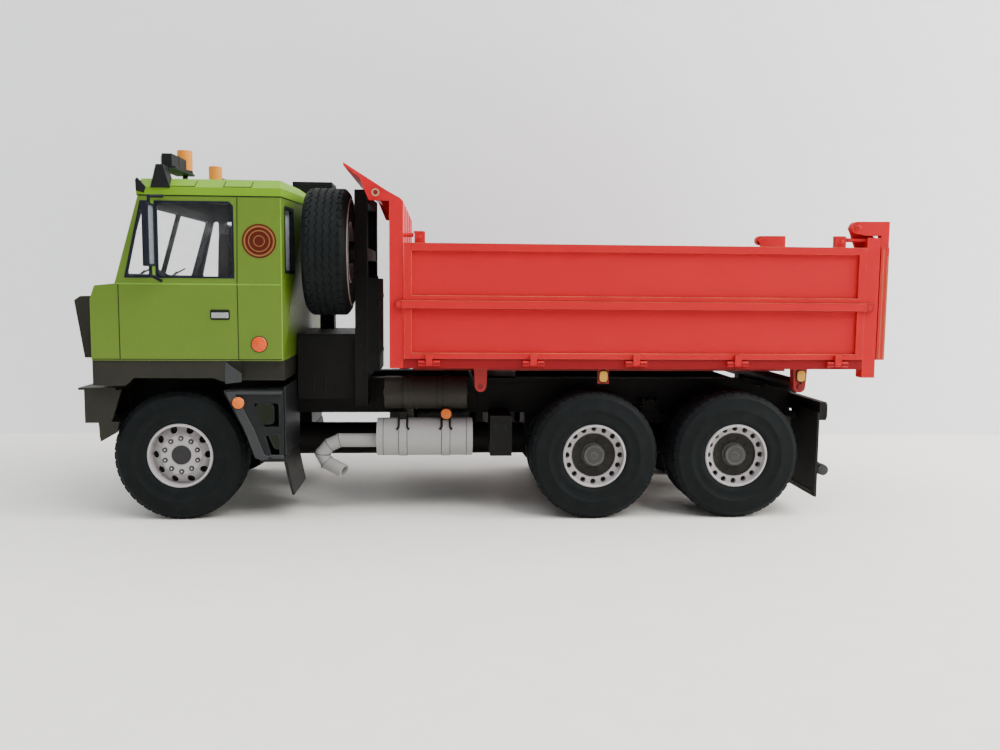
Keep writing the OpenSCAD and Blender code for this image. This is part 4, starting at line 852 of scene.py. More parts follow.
bumper_face = at(-23.8)
LAMP_Y, LAMP_Z, LAMP_HALF_W, LAMP_HALF_H = 27.6, 31.2, 6.2, 2.9
lamp_frames, lamp_domes, lamp_bowls, plate, plate_rim = (bmesh.new() for _ in range(5))
for side in (1, -1):
    outline = [(side * (LAMP_Y - LAMP_HALF_W), LAMP_Z - LAMP_HALF_H),
               (side * (LAMP_Y + LAMP_HALF_W), LAMP_Z - LAMP_HALF_H),
               (side * (LAMP_Y + LAMP_HALF_W), LAMP_Z + LAMP_HALF_H),
               (side * (LAMP_Y - LAMP_HALF_W), LAMP_Z + LAMP_HALF_H)]
    add_frame(lamp_frames, inset(outline, -0.4, 0.8), inset(outline, 0.3, 0.6), "x", bumper_face - 0.1,
              bumper_face + 0.45)
    add_prism(lamp_bowls, inset(outline, 0.2, 0.6), "x", bumper_face - 0.05, bumper_face + 0.12)
    for dy in (-3.1, 3.1):
        add_turned(lamp_domes, [(2.55, 0.05), (2.5, 0.3), (2.3, 0.44), (1.2, 0.56), (0, 0.6)],
                   (bumper_face, side * (LAMP_Y + dy), LAMP_Z), "x", 1, 36)
    add_turned(lamp_domes, [(1.25, 0.02), (1.22, 0.25), (0.6, 0.4), (0, 0.42)], (bumper_face, side * 17.2, 31.2), "x",
               1, 28)
    add_turned(lamp_frames, [(1.25, 0.02), (1.3, 0.35), (1.55, 0.32), (1.6, 0.0)], (bumper_face, side * 17.2, 31.2),
               "x", 1, 28)
    for y in (34.6, 20.4, 12.6):
        add_nut(lamp_frames, (bumper_face, side * y, 28.4), "x", 0.45, 0.35)
plate_outline = inset([(-8.1, 29.0), (8.1, 29.0), (8.1, 32.6), (-8.1, 32.6)], 0, 0.3)
add_prism(plate, plate_outline, "x", bumper_face, bumper_face + 0.25)
add_frame(plate_rim, inset(plate_outline, -0.02, 0), inset(plate_outline, 0.28, 0), "x", bumper_face,
          bumper_face + 0.36)
chrome_card = card_finish("chrome_card", (0.55, 0.56, 0.58), (0.8, 0.8, 0.8), mottle=0.2, wear=0.4, gloss=0.25)
lens_clear = lamp_finish("lens_clear", (0.5, 0.54, 0.56))
plate_white = card_finish("plate_white", (0.6, 0.6, 0.57), (0.8, 0.8, 0.78), mottle=0.12, wear=0.6)
make_piece("headlamp_frames", lamp_frames, bar_card, "chassis", round_off=0.06)
make_piece("headlamp_bowls", lamp_bowls, chrome_card, "chassis")
make_piece("headlamp_domes", lamp_domes, lens_clear, "chassis")
make_piece("front_plate", plate, plate_white, "chassis", round_off=0.05)
make_piece("front_plate_rim", plate_rim, seam_ink, "chassis")

# A lighter facet where the skirt turns over the wheel: painted highlight on the bevel facing the light.
facets = bmesh.new()
skirt_low, skirt_high = box_mm("cab_skirt")
for side in (1, -1):
    y = skirt_high.y
    y0, y1 = span(side, y - 0.05, y + 0.06)
    add_prism(facets, [(at(13.2), skirt_high.z - 0.4), (at(13.0), skirt_low.z + 0.5), (at(17.2), skirt_low.z + 1.0),
                       (at(17.2), skirt_high.z - 3.4)], "y", y0, y1)
make_piece("skirt_facets", facets, grey_bands_and_lit_bevels, "chassis")

# ---- Steps and mud flaps -------------------------------------------------------------------------
# Folded boxes of dark card with a slanted guard strip, a lamp and two rounded foot pockets a side.
# The flaps behind the wheels are single sheets with a stiffening strip glued across the top.

step_card = card_finish("step_card", (0.012, 0.013, 0.0135), (0.06, 0.065, 0.07), mottle=0.3, wear=0.65, gloss=0.5)
flap_card = card_finish("flap_card", (0.012, 0.012, 0.011), (0.05, 0.045, 0.04), mottle=0.45, wear=0.5)
dress(step_card, "step_left", "step_right")
dress(flap_card, "mud_flaps")
strips, pockets, pocket_rims, lens, ring = (bmesh.new() for _ in range(5))
step_low, step_high = box_mm("step_left")
step_y = step_high.y
for side in (1, -1):
    y0, y1 = span(side, step_y - 0.02, step_y + 0.3)
    add_prism(strips, [(at(13.0), 34.9), (at(15.2), 35.0), (at(20.3), 25.0), (at(22.8), 18.3), (at(25.3), 17.4),
                       (at(22.3), 16.8), (at(20.4), 17.4), (at(17.6), 25.4)], "y", y0, y1)
    add_prism(strips, [(at(15.2), 35.1), (at(27.6), 35.1), (at(27.6), 34.3), (at(15.6), 34.3)], "y", y0, y1)
    add_prism(strips, [(at(24.2), 18.2), (at(27.8), 18.2), (at(27.8), 17.2), (at(23.6), 17.2)], "y", y0, y1)
    y0, y1 = span(side, step_y - 0.02, step_y + 0.05)
    for s0, s1, z0, z1 in ((20.8, 25.3, 26.6, 31.6), (24.0, 26.8, 20.0, 23.6)):
        outline = inset([(at(s1), z0), (at(s0 + (1.6 if z0 < 25 else 1.0)), z0), (at(s0), z1), (at(s1), z1)], 0, 1.0)
        add_prism(pockets, outline, "y", y0, y1)
        add_frame(pocket_rims, inset(outline, -0.22, 0), outline, "y", y0, y0 + 0.12 if side > 0 else y1)
    add_round_lamp(lens, ring, (at(16.3), side * (step_y + 0.28), 32.1), "y", side, 1.55)
# The guard strips' lighter grey is painted highlight on their lit bevels.
make_piece("step_strips", strips, grey_bands_and_lit_bevels, "chassis", round_off=0.1)
# The near-black pocket sheets are painted shade inside the recessed foot pockets.
make_piece("step_pocket_shades", pockets, seam_ink, "chassis")
make_piece("step_pocket_rims", pocket_rims, step_card, "chassis")
make_piece("step_lamps", lens, amber_lens, "chassis")
make_piece("step_lamp_rims", ring, seam_ink, "chassis")
flap_low = box_mm("mud_flaps")[0]
flap_strips = bmesh.new()
for side in (1, -1):
    y0, y1 = span(side, 18.0, 35.0)
    add_block(flap_strips, flap_low.x - 0.28, flap_low.x, y0, y1, 24.6, 26.4)
    add_block(flap_strips, flap_low.x + 0.6, flap_low.x + 0.8, y0, y1, 6.0, 7.0)
    for y in (20, 26.5, 33):
        add_nut(flap_strips, (flap_low.x - 0.25, side * y, 25.5), "x", 0.45, 0.32, -1)
        add_nut(flap_strips, (at(27.9), side * y, 19.2), "x", 0.45, 0.35, -1)
# Dark sheet closing the back of each step.
for side in (1, -1):
    y0, y1 = span(side, 12.6, 37.4)
    add_block(flap_strips, step_low.x - 0.45, step_low.x - 0.1, y0, y1, 17.6, 36.2)
make_piece("flap_strips", flap_strips, step_card, "chassis", round_off=0.08)

# ---- Behind the cab --------------------------------------------------------------------------
# A dark cover box over the engine, a tall carrier of black strips holding the spare wheel upright,
# the oil tank of the tipping gear, and the air intake with its mushroom head.

cover_card = card_finish("cover_card", (0.008, 0.0078, 0.0068), (0.04, 0.038, 0.034), mottle=0.45, wear=0.55)
tank_card = card_finish("tank_card", (0.007, 0.007, 0.007), (0.06, 0.05, 0.045), mottle=0.35, wear=0.7)
dress(cover_card, "engine_cover")
dress(black_card, "spare_carrier", "air_intake")
dress(tank_card, "oil_tank")
cover_low, cover_high = box_mm("engine_cover")
ribs = bmesh.new()
for side in (1, -1):
    y0, y1 = span(side, cover_high.y - 0.02, cover_high.y + 0.14)
    for k in range(5):
        x = cover_high.x - 3.5 - k * 3.1
        add_block(ribs, x - 1.1, x, y0, y1, cover_low.z + 2.2, cover_low.z + 7.4)
    add_block(ribs, cover_low.x, cover_high.x, y0, y1, cover_high.z - 0.9, cover_high.z - 0.5)
make_piece("engine_cover_louvres", ribs, black_card, "chassis", round_off=0.05)

tank_low, tank_high = box_mm("oil_tank")
fittings = bmesh.new()
add_turned(fittings, [(0, 0), (1.2, 0), (1.2, 0.5), (1.0, 0.8), (0.5, 0.85), (0, 0.85)],
           ((tank_low.x + tank_high.x) / 2, tank_high.y - 3.2, tank_high.z - 0.05), "z", 1, 24)
for z in (tank_low.z + 5, tank_high.z - 5):
    add_block(fittings, tank_low.x - 0.15, tank_high.x + 0.05, tank_low.y + 0.2, tank_high.y + 0.18, z - 0.6, z + 0.6)
make_piece("oil_tank_straps", fittings, black_card, "chassis", round_off=0.08)

spare_low, spare_high = box_mm("spare_tyre")
spare_mid = (spare_low + spare_high) / 2
spare_r = (spare_high.z - spare_low.z) / 2
spare = bmesh.new()
add_tyre(spare, (spare_low.x, spare_mid.y, spare_mid.z), "x", spare_high.x - spare_low.x, spare_r, bore_r)
spare_piece = make_piece("spare_tread", spare, tyre_card, "chassis", smooth=28)
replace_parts(spare_piece, "spare_tyre")
dress(rim_card, "spare_rim")
lip = bmesh.new()
add_turned(lip, [(14.3, 0.02), (14.4, -0.12), (14.75, -0.12), (14.85, 0.25)], (spare_low.x, spare_mid.y, spare_mid.z),
           "x", 1, 72)
lip_pink = card_finish("lip_card", (0.2, 0.15, 0.14), (0.3, 0.24, 0.22), mottle=0.3, wear=0.4)
make_piece("spare_edge_ring", lip, lip_pink, "chassis")
clamp = bmesh.new()
add_turned(clamp, [(0, 0.9), (1.2, 0.9), (1.3, 0.7), (1.3, 0), (3.6, 0), (3.6, -0.4), (0, -0.4)],
           (box_mm("spare_rim")[1].x, spare_mid.y, spare_mid.z), "x", 1, 30)
make_piece("spare_clamp", clamp, nut_grey, "chassis")

carrier_high = box_mm("spare_carrier")[1]
rivets = bmesh.new()
for side in (1, -1):
    for z in (46, 56, 66, 76, 86):
        add_nut(rivets, ((at(45.3) + at(48.8)) / 2, side * (carrier_high.y - 0.02), z), "y", 0.42, 0.3, side)
make_piece("carrier_bolts", rivets, black_card, "chassis")
intake_low, intake_high = box_mm("air_intake")
louvres = bmesh.new()
for k in range(5):
    z = intake_high.z - 0.6 - 0.6 * k
    add_block(louvres, intake_low.x + 0.6, intake_high.x - 0.6, intake_high.y - 0.1, intake_high.y + 0.12, z - 0.3, z)
    add_block(louvres, intake_low.x - 0.12, intake_low.x + 0.1, intake_low.y + 0.6, intake_high.y - 0.6, z - 0.3, z)
make_piece("air_intake_louvres", louvres, bar_card, "chassis", round_off=0.04)

# ---- Exhaust ---------------------------------------------------------------------------------------
# A rolled silencer of pale grey card hung on two black hooks, with printed seams, and a mitred tail
# pipe that ends in an open cut facing outward.

muffler_card = card_finish("muffler_card", (0.285, 0.28, 0.275), (0.75, 0.72, 0.68), mottle=0.12, wear=0.5, gloss=0.42)
seam_grey = card_finish("seam_grey", (0.09, 0.085, 0.08), (0.15, 0.14, 0.13), mottle=0.2, wear=0.0)
dress(muffler_card, "muffler")
MUFFLER_Y, MUFFLER_Z, MUFFLER_R = 25.5, 21.05, 5.25
seams, hooks, pads = bmesh.new(), bmesh.new(), bmesh.new()
for s in (53.5, 76.4, 57.75, 60.05, 69.55, 71.85):
    r = MUFFLER_R + 0.05
    add_turned(seams, [(r - 0.1, -0.1), (r, -0.1), (r, 0.1), (r - 0.1, 0.1)], (at(s), MUFFLER_Y, MUFFLER_Z), "x", 1, 64)
for s in (58.9, 70.7):
    for ds in (-1.15, 1.15):
        arc = []
        for k in range(7):
            a = math.radians(90 - 9 * k)
            arc.append((at(s + ds), MUFFLER_Y + (MUFFLER_R + 0.45) * math.cos(a),
                        MUFFLER_Z + (MUFFLER_R + 0.45) * math.sin(a)))
        arc.append((at(s + ds * 1.5), arc[-1][1] + 0.1, arc[-1][2] - 0.75))
        add_tube(hooks, [(at(s + ds * 0.6), MUFFLER_Y - 0.4, 27.6)] + arc, 0.3, 8)
    add_block(pads, at(s + 1.1), at(s - 1.1), MUFFLER_Y + 0.4, MUFFLER_Y + 2.2, MUFFLER_Z + 5.2, MUFFLER_Z + 7.2)
make_piece("silencer_seams", seams, seam_grey, "chassis")
make_piece("silencer_hooks", hooks, bar_card, "chassis")
make_piece("silencer_pads", pads, cover_card, "chassis", round_off=0.1)

# Mitre seams of the tail pipe: flat rings lying in the plane halfway between two straight pieces.
route = [Vector((at(s), y, z)) for s, y, z in
         ((41.3, 25.5, 19.95), (38.4, 25.5, 18.6), (36.3, 25.5, 16.2), (37.6, 25.5, 13.7))]
before = [Vector((at(50), 25.5, 19.95))] + route[:-1]
after = route[1:] + [Vector((at(42.7), 28.1, 11.7))]
joints = bmesh.new()
PIPE_R = 1.96
for spot, back, ahead in zip(route, before, after):
    normal = ((spot - back).normalized() + (ahead - spot).normalized()).normalized()
    reach = 1 / max(0.4, normal.dot((ahead - spot).normalized()))
    u = normal.cross(Vector((0, 1, 0))).normalized()
    v = normal.cross(u).normalized()
    ring = [spot + (u * math.cos(a) * reach + v * math.sin(a)) * (PIPE_R + 0.02)
            for a in (2 * math.pi * k / 40 for k in range(41))]
    add_tube(joints, ring, 0.1, 5)
make_piece("tail_pipe_seams", joints, seam_grey, "chassis")

# ---- Air tank, fuel tank and battery box -----------------------------------------------------------
# Rolled dark card tanks with two straps each, and a plain black box with a lid line and hasps.

air_card = card_finish("air_card", (0.026, 0.023, 0.019), (0.07, 0.06, 0.055), mottle=0.4, wear=0.5, gloss=0.45)
fuel_card = card_finish("fuel_card", (0.3, 0.295, 0.285), (0.7, 0.68, 0.65), mottle=0.2, wear=0.6, gloss=0.38)
dress(air_card, "air_tank")
dress(fuel_card, "fuel_tank")
dress(black_card, "battery_box")
straps, valves = bmesh.new(), bmesh.new()
AIR_Y, AIR_Z, AIR_R = 24.6, 33.35, 4.55
for s in (58.7, 60.2, 68.2, 69.9):
    add_turned(straps, [(AIR_R - 0.1, -0.1), (AIR_R + 0.08, -0.1), (AIR_R + 0.08, 0.1), (AIR_R - 0.1, 0.1)],
               (at(s), AIR_Y, AIR_Z), "x", 1, 56)
for s, out in ((53.8, 1), (76.5, -1)):
    add_turned(valves, [(0, -0.05), (0.9, -0.05), (0.9, 0.35), (0.5, 0.5), (0, 0.5)], (at(s), AIR_Y, AIR_Z), "x", out,
               18)
make_piece("air_tank_strap_lines", straps, seam_ink, "chassis")
make_piece("air_tank_valves", valves, nut_grey, "chassis")
fuel_low, fuel_high = box_mm("fuel_tank")
straps, caps = bmesh.new(), bmesh.new()
for x in (fuel_low.x + 8, fuel_high.x - 8):
    outline = inset([(fuel_low.y, fuel_low.z), (fuel_high.y, fuel_low.z), (fuel_high.y, fuel_high.z),
                     (fuel_low.y, fuel_high.z)],
                    -0.14, 3.2, 8)
    inner = inset([(fuel_low.y, fuel_low.z), (fuel_high.y, fuel_low.z), (fuel_high.y, fuel_high.z),
                   (fuel_low.y, fuel_high.z)],
                  0.25, 3.0, 8)
    add_frame(straps, outline, inner, "x", x - 0.9, x + 0.9)
make_piece("fuel_tank_straps", straps, bar_card, "chassis", round_off=0.05)
add_turned(caps, [(1.7, -0.2), (1.7, 0.5), (1.5, 0.8), (0.6, 0.85), (0, 0.85)],
           (fuel_high.x - 4.2, fuel_low.y + 4.4, fuel_high.z), "z", 1, 30)
make_piece("fuel_tank_cap", caps, bar_card, "chassis")
box_low, box_high = box_mm("battery_box")
hasps = bmesh.new()
add_block(hasps, box_low.x - 0.12, box_high.x + 0.12, box_high.y - 0.3, box_high.y + 0.14,
          box_high.z - 2.9, box_high.z - 2.6)
for x in (box_low.x + 1.8, box_high.x - 1.8):
    add_block(hasps, x - 0.5, x + 0.5, box_high.y - 0.1, box_high.y + 0.28, box_high.z - 4.2, box_high.z - 1.8)
make_piece("battery_box_hasps", hasps, bar_card, "chassis", round_off=0.05)

# An orange marker lamp glued over the silencer, on each side.
lens, ring = bmesh.new(), bmesh.new()
add_round_lamp(lens, ring, (at(70.8), 28.1, 27.7), "y", 1, 1.45)
add_round_lamp(lens, ring, (at(70.8), fuel_low.y - 0.02, 27.7), "y", -1, 1.45)
make_piece("marker_lamps", lens, amber_lens, "chassis")
make_piece("marker_lamp_rims", ring, seam_ink, "chassis")

# ---- Rear lamps and underrun bar ---------------------------------------------------------------------
# A black beam with printed lamp clusters of red and orange card and a blank plate, and the round
# underrun bar below it.

beam_card = card_finish("beam_card", (0.009, 0.009, 0.008), (0.05, 0.05, 0.05), mottle=0.35, wear=0.6)
dress(beam_card, "rear_lamp_beam", "underrun_bar")
red_lens = lamp_finish("red_lens", (0.5, 0.02, 0.015))
beam_low, beam_high = box_mm("rear_lamp_beam")
red, amber, clear, frames, plate, bar_ends = (bmesh.new() for _ in range(6))
back = beam_low.x
for side in (1, -1):
    for shape, y0, y1 in ((amber, 32.4, 35.2), (red, 28.2, 32.0), (red, 24.4, 27.8), (clear, 21.4, 24.0)):
        y0, y1 = span(side, y0, y1)
        outline = [(y0, beam_low.z + 1.0), (y1, beam_low.z + 1.0), (y1, beam_high.z - 1.0), (y0, beam_high.z - 1.0)]
        add_prism(shape, inset(outline, 0.05, 0.25), "x", back - 0.3, back + 0.05)
    y0, y1 = span(side, 21.0, 35.6)
    outer = [(y0, beam_low.z + 0.6), (y1, beam_low.z + 0.6), (y1, beam_high.z - 0.6), (y0, beam_high.z - 0.6)]
    add_frame(frames, outer, inset(outer, 0.4, 0), "x", back - 0.42, back + 0.05)
outline = [(-8.1, beam_low.z + 0.9), (8.1, beam_low.z + 0.9), (8.1, beam_high.z - 0.7), (-8.1, beam_high.z - 0.7)]
add_prism(plate, outline, "x", back - 0.25, back + 0.05)
add_frame(frames, inset(outline, -0.25, 0), inset(outline, 0.1, 0), "x", back - 0.34, back + 0.05)
bar_low, bar_high = box_mm("underrun_bar")
underrun_x = bar_low.x + 1.5
for side in (1, -1):
    add_turned(bar_ends, [(0, 0.12), (1.2, 0.12), (1.45, 0), (1.5, -0.4)], (underrun_x, side * bar_high.y, 13.0), "y",
               side, 28)
    for k in range(5):
        y = side * (bar_high.y - 3.6 * k - 2)
        add_turned(bar_ends, [(1.5, -0.8), (1.56, -0.8), (1.56, 0.8), (1.5, 0.8)], (underrun_x, y, 13.0), "y", side, 28)
make_piece("rear_lamps_red", red, red_lens, "chassis", round_off=0.08)
make_piece("rear_lamps_amber", amber, amber_lens, "chassis", round_off=0.08)
make_piece("rear_lamps_clear", clear, lens_clear, "chassis", round_off=0.08)
make_piece("rear_lamp_frames", frames, bar_card, "chassis")
make_piece("rear_plate", plate, plate_white, "chassis")
make_piece("underrun_bands", bar_ends, grey_bands_and_lit_bevels, "chassis")

# ---- Tipping gear ------------------------------------------------------------------------------------
# The hinge shafts the bed lies on and the collapsed telescopic cylinder, whose stages are thin
# rolled card tubes one inside the other.

dress(beam_card, "rear_tip_shaft", "front_tip_beam")
tube_card = card_finish("tube_card", (0.23, 0.22, 0.21), (0.6, 0.6, 0.6), mottle=0.3, wear=0.6, gloss=0.35)
dress(tube_card, "tip_cylinder")

# ---- Tipping bed -----------------------------------------------------------------------------
# Red printed card: floor with sills and bearers, front wall with a guard, two drop sides with glued
# frame strips, and a tailgate on two arms. Cut edges show the pale core of the card.

red_card = card_finish("red_card", (0.44, 0.005, 0.011), (0.6, 0.09, 0.05), mottle=0.12, wear=0.7, gloss=0.55,
                       sheen=0.16)
# Lighter, pinker red for the front wall's inner face and its ribs: painted light on the lit face.
red_inner_lit = card_finish("red_inner_lit", (0.6, 0.03, 0.04), (0.78, 0.3, 0.24), mottle=0.16, wear=0.6, gloss=0.5)
# Darker red for the bearers under the bed: painted shade.
red_under_shade = card_finish("red_under_shade", (0.22, 0.006, 0.007), (0.4, 0.06, 0.04), mottle=0.2, wear=0.4, gloss=0.5)
dress(red_card, "bed_floor", "bed_front_wall", "bed_rear_posts", "side_board_left", "side_board_right", "tailgate")
dress(red_under_shade, "bed_beams")
# Darker red on the sill faces under the boards' overhang: painted shade.
sill_red_shade = card_finish("sill_red_shade", (0.2, 0.003, 0.006), (0.4, 0.05, 0.03), mottle=0.12, wear=0.5, gloss=0.55,
                       sheen=0.16)
floor_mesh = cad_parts["bed_floor"].data
floor_mesh.materials.append(sill_red_shade)
for face in floor_mesh.polygons:
    if abs(face.normal.y) > 0.9 and abs(face.center.y) > 38 * MM:
        face.material_index = 1
core_edge = card_finish("core_edge", (0.42, 0.045, 0.02), (0.62, 0.22, 0.1), mottle=1.3, wear=0.3, gloss=0.5)
crease_red = card_finish("crease_red", (0.13, 0.004, 0.005), (0.2, 0.02, 0.02), mottle=0.2, wear=0.0)

BOARD_LOW, BOARD_TOP, MID_LOW = 44.0, 74.2, 57.2
HINGE_START, HINGE_PITCH = 66.2, 27.5
panel_y = 38.55
front_s, rear_s = 59.6, 183.5
for side, body, name in ((1, "left_board", "left"), (-1, "right_board", "right")):
    cut_edges, creases, studs = bmesh.new(), bmesh.new(), bmesh.new()
    rib_y = 39.4

    def flat(shape, s0, s1, z0, z1, y, proud=0.03):
        y0, y1 = span(side, y - 0.05, y + proud)
        add_block(shape, at(s1), at(s0), y0, y1, z0, z1)

    for z in (BOARD_LOW + 1.5, MID_LOW + 3.4):
        flat(cut_edges, front_s + 2, rear_s - 2, z - 0.16, z + 0.02, rib_y, 0.025)
        flat(cut_edges, front_s + 2, rear_s - 2, z - 0.02, z + 0.05, rib_y - 0.3, 0.0)
    flat(cut_edges, front_s + 1.86, front_s + 2.02, BOARD_LOW + 1.5, MID_LOW, rib_y)
    flat(cut_edges, front_s + 1.86, front_s + 2.02, MID_LOW + 3.4, BOARD_TOP - 1.9, rib_y)
    flat(cut_edges, front_s - 1.9, rear_s + 1.9, MID_LOW + 2.0, MID_LOW + 2.12, 40.0, 0.02)
    flat(cut_edges, front_s + 0.1, rear_s - 0.1, BOARD_TOP - 0.12, BOARD_TOP + 0.03, rib_y, 0.02)
    for z0, z1 in ((BOARD_LOW + 1.5, MID_LOW), (MID_LOW + 3.4, BOARD_TOP - 1.9)):
        flat(creases, front_s + 2.02, rear_s - 2.02, z1 - 0.13, z1, panel_y)
        flat(creases, front_s + 2.02, front_s + 2.14, z0, z1, panel_y)
        flat(creases, rear_s - 2.26, rear_s - 2.02, z0, z1, panel_y)
    flat(creases, front_s, rear_s, MID_LOW + 2.05, MID_LOW + 2.18, rib_y)
    flat(creases, front_s, rear_s, MID_LOW - 0.14, MID_LOW, rib_y)
    for z0, z1 in ((BOARD_TOP - 1.9, BOARD_TOP), (BOARD_LOW, BOARD_LOW + 1.5)):
        flat(creases, front_s + 1.9, front_s + 1.96, z0, z1, rib_y)
        flat(creases, rear_s - 1.96, rear_s - 1.9, z0, z1, rib_y)
    for s0, s1 in ((front_s - 2.15, front_s - 0.6), (rear_s + 0.6, rear_s + 2.15)):
        y0, y1 = span(side, 39.95, 40.06)
        square = [(at(s0), MID_LOW + 0.05), (at(s1), MID_LOW + 0.05), (at(s1), MID_LOW + 2.05),
                  (at(s0), MID_LOW + 2.05)]
        add_frame(creases, square, inset(square, 0.13, 0), "y", y0, y1)
    for i in range(5):
        s = HINGE_START + HINGE_PITCH * i
        add_prism(studs, [(at(s - 0.8), 43.9), (at(s - 0.75), 44.9), (at(s + 0.75), 44.9), (at(s + 0.8), 43.9)], "y",
                  *span(side, 39.25, 39.75))
    for s in (63.7, 176.6):
        add_nut(studs, (at(s), side * 38.75, BOARD_TOP + 1.6), "y", 0.5, 0.4, side)
        add_block(studs, at(s + 1.0), at(s - 1.6), *span(side, 36.6, 38.5), BOARD_TOP + 2.6, BOARD_TOP + 3.1)
    for k in range(7):
        s = front_s + 14 + 16 * k
        y0, y1 = span(side, 37.35, 37.62)
        add_block(studs, at(s + 1.0), at(s - 1.0), y0, y1, BOARD_LOW + 1.2, BOARD_TOP - 1.2)
    make_piece(f"board_cut_edges_{name}", cut_edges, core_edge, body)
    make_piece(f"board_creases_{name}", creases, crease_red, body)
    make_piece(f"board_fittings_{name}", studs, red_card, body, round_off=0.08)

# Knuckle faces, side lamps on red brackets, and the gusset hole of the guard.
knuckles, amber, lamp_rims, hole_rims, pins = (bmesh.new() for _ in range(5))
HOLE_S, HOLE_Z = 52.4, 86.9
yellow_lens = lamp_finish("yellow_lens", (0.52, 0.25, 0.02))
tan_card = card_finish("tan_card", (0.35, 0.2, 0.1), (0.5, 0.35, 0.2), mottle=0.3, wear=0.2)
for side in (1, -1):
    for i in range(5):
        s = HINGE_START + HINGE_PITCH * i
        for ds in (-2.52, 2.52):
            add_turned(knuckles, [(0.35, 0.14), (0.62, 0.14), (0.78, -0.05)], (at(s + ds), side * 39.85, 42.8),
                       "x", 1 if ds < 0 else -1, 18)
    for s, z in ((113.0, 39.2), (167.6, 39.4)):
        outline = inset([(at(s) - 1.1, z - 1.5), (at(s) + 1.1, z - 1.5), (at(s) + 1.1, z + 1.5),
                         (at(s) - 1.1, z + 1.5)],
                        0, 1.0, 6)
        face = 37.2 if s < 150 else 37.0
        add_prism(lamp_rims, inset(outline, -0.28, 0), "y", *span(side, face - 0.1, face + 0.14))
        add_prism(amber, outline, "y", *span(side, face, face + 0.5))
        for dz in (2.1, -2.1):
            add_nut(lamp_rims, (at(s), side * (face - 0.03), z + dz), "y", 0.28, 0.22, side)
    hole = (at(HOLE_S), side * 40.0, HOLE_Z)
    add_turned(hole_rims, [(0.62, -0.02), (0.62, 0.06), (1.02, 0.06), (1.02, -0.02), (0.62, -0.02)], hole, "y", side,
               28)
    for s in (79.9, 167.4):
        add_nut(pins, (at(s), side * (36.95 if s > 100 else 36.3), 36.4), "y", 0.85, 0.5, side)
make_piece("hinge_ends", knuckles, red_card, "bed")
make_piece("side_lamps", amber, yellow_lens, "bed", round_off=0.15)
make_piece("side_lamp_rims", lamp_rims, seam_ink, "bed")
make_piece("guard_hole_rims", hole_rims, tan_card, "bed")
make_piece("tip_pin_nuts", pins, crease_red, "bed")
holes = bmesh.new()
for side in (1, -1):
    add_turned(holes, [(0, 0.03), (0.62, 0.03), (0.62, -0.02)], (at(HOLE_S), side * 40.0, HOLE_Z), "y", side, 24)
make_piece("guard_holes", holes, crease_red, "bed")
# The front wall's faces turned to the rear take the lighter red: painted light.
wall_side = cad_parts["bed_front_wall"].data
wall_side.materials.append(red_inner_lit)
for face in wall_side.polygons:
    if face.normal.x < -0.8 and face.center.z > 44 * MM:
        face.material_index = 1

# Floor planks' seams inside the bed, and the seams of the front wall.
planks, ribs = bmesh.new(), bmesh.new()
floor_top = 43.2
for k in range(-3, 4):
    add_block(planks, at(183.2), at(60.2), k * 9.3 - 0.09, k * 9.3 + 0.09, floor_top - 0.02, floor_top + 0.04)
for y in (-27, -9, 9, 27):
    add_block(ribs, at(59.75), at(59.35), y - 0.9, y + 0.9, floor_top + 0.2, 84.4)
make_piece("floor_seams", planks, crease_red, "bed")
make_piece("front_wall_ribs", ribs, red_inner_lit, "bed", round_off=0.1)

# Tailgate: pivot caps, pale edge strips at both ends, and three lifting lugs along the foot.
caps, edge_strips, lugs = bmesh.new(), bmesh.new(), bmesh.new()
brown_edge = card_finish("brown_edge", (0.3, 0.08, 0.025), (0.5, 0.3, 0.15), mottle=0.4, wear=0.4)
gate_high = box_mm("tailgate")[1]
for side in (1, -1):
    add_turned(caps, [(0, 0.3), (0.4, 0.3), (0.55, 0.2), (0.6, -0.05)], (at(180.9), side * 39.6, 79.6), "y", side, 22)
    y0, y1 = span(side, gate_high.y - 0.03, gate_high.y + 0.03)
    add_block(edge_strips, at(189.75), at(189.3), y0, y1, 44.2, 72.2)
    add_block(edge_strips, at(188.5), at(188.2), y0, y1, 44.2, 74.0)
for y in (-22, 0, 22):
    add_prism(lugs, [(at(189.7), 46.4), (at(190.3), 46.2), (at(190.3), 44.6), (at(189.7), 44.3)], "y", y - 1.2, y + 1.2)
make_piece("gate_pivot_caps", caps, red_card, "rear_gate")
make_piece("gate_edge_strips", edge_strips, brown_edge, "rear_gate")
make_piece("gate_lugs", lugs, red_card, "rear_gate", round_off=0.1)

# ---- Table, wall, light and camera ----------------------------------------------------------
# The model stands on pale card against a white textured wall, in soft daylight from one side.

stage_card = card_finish("stage_card", (0.76, 0.745, 0.69), mottle=0.1, wear=0.0, gloss=0.75, relief=0.2)
stage_wall = card_finish("stage_wall", (0.86, 0.865, 0.89), mottle=0.05, wear=0.0, gloss=0.8, relief=0.6)
wall_near, wall_far = Vector((at(-113.95), -110.6)), Vector((at(312.65), -99.7))
wall_run = (wall_far - wall_near).normalized()
floor_mesh = bpy.data.meshes.new("floor")
wall_mesh = bpy.data.meshes.new("wall")
reach = 1800
start, end = wall_near - wall_run * reach, wall_near + wall_run * reach
out_of_wall = Vector((-wall_run.y, wall_run.x))
if out_of_wall.y < 0:
    out_of_wall = -out_of_wall
floor_mesh.from_pydata([(start.x * MM, start.y * MM, 0), (end.x * MM, end.y * MM, 0),
                        ((end + out_of_wall * reach).x * MM, (end + out_of_wall * reach).y * MM, 0),
                        ((start + out_of_wall * reach).x * MM, (start + out_of_wall * reach).y * MM, 0)],
                       [], [(0, 1, 2, 3)])
wall_mesh.from_pydata([(start.x * MM, start.y * MM, 0), (end.x * MM, end.y * MM, 0),
                       (end.x * MM, end.y * MM, 1.2), (start.x * MM, start.y * MM, 1.2)], [], [(3, 2, 1, 0)])
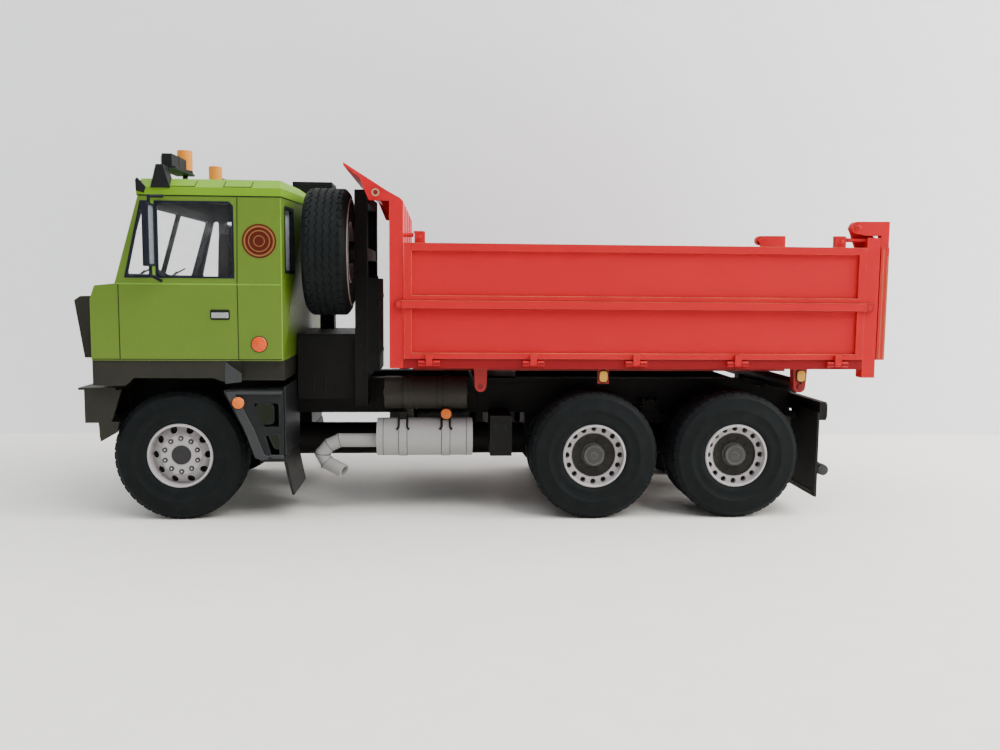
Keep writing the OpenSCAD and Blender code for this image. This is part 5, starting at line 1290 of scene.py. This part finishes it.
for mesh, finish in ((floor_mesh, stage_card), (wall_mesh, stage_wall)):
    mesh.materials.append(finish)
    stand = bpy.data.objects.new(mesh.name, mesh)
    bpy.context.scene.collection.objects.link(stand)


def add_light(name, place, aim, size, power, colour):
    lamp = bpy.data.lights.new(name, "AREA")
    lamp.shape = "DISK"
    lamp.size = size
    lamp.energy = power
    lamp.color = colour
    holder = bpy.data.objects.new(name, lamp)
    holder.location = Vector(place)
    holder.rotation_mode = "QUATERNION"
    holder.rotation_quaternion = (Vector(aim) - Vector(place)).to_track_quat("-Z", "Y")
    bpy.context.scene.collection.objects.link(holder)


add_light("window_light", (-0.6, 0.6, 1.0), (0, 0, 0.03), 0.9, 17.0, (1.0, 0.985, 0.96))
add_light("sky_light", (0.25, 0.3, 1.25), (0, 0, 0.03), 1.2, 11.0, (0.93, 0.96, 1.0))
add_light("side_light", (-0.75, 0.12, 0.5), (-0.35, -0.2, 0.12), 0.4, 9.0, (1.0, 0.99, 0.97))

world = bpy.data.worlds.new("room")
world.use_nodes = True
world.node_tree.nodes["Background"].inputs["Color"].default_value = (0.9, 0.94, 1.0, 1.0)
world.node_tree.nodes["Background"].inputs["Strength"].default_value = 0.6
bpy.context.scene.world = world

camera_place = Vector((at(68.817), 280.92, 63.78)) * MM
yaw, pitch, roll = 0.0666, 0.0991, -0.0087
level_right = Vector((-math.cos(yaw), math.sin(yaw), 0))
ahead = Vector((-math.cos(pitch) * math.sin(yaw), -math.cos(pitch) * math.cos(yaw), -math.sin(pitch)))
level_up = level_right.cross(ahead)
right = level_right * math.cos(roll) - level_up * math.sin(roll)
up = level_right * math.sin(roll) + level_up * math.cos(roll)
lens = bpy.data.cameras.new("camera")
lens.sensor_width = 36
lens.lens = 33.04
lens.clip_start = 0.01
lens.clip_end = 10
camera = bpy.data.objects.new("camera", lens)
camera.matrix_world = Matrix.Translation(camera_place) @ Matrix((right, up, -ahead)).transposed().to_4x4()
bpy.context.scene.collection.objects.link(camera)
bpy.context.scene.camera = camera
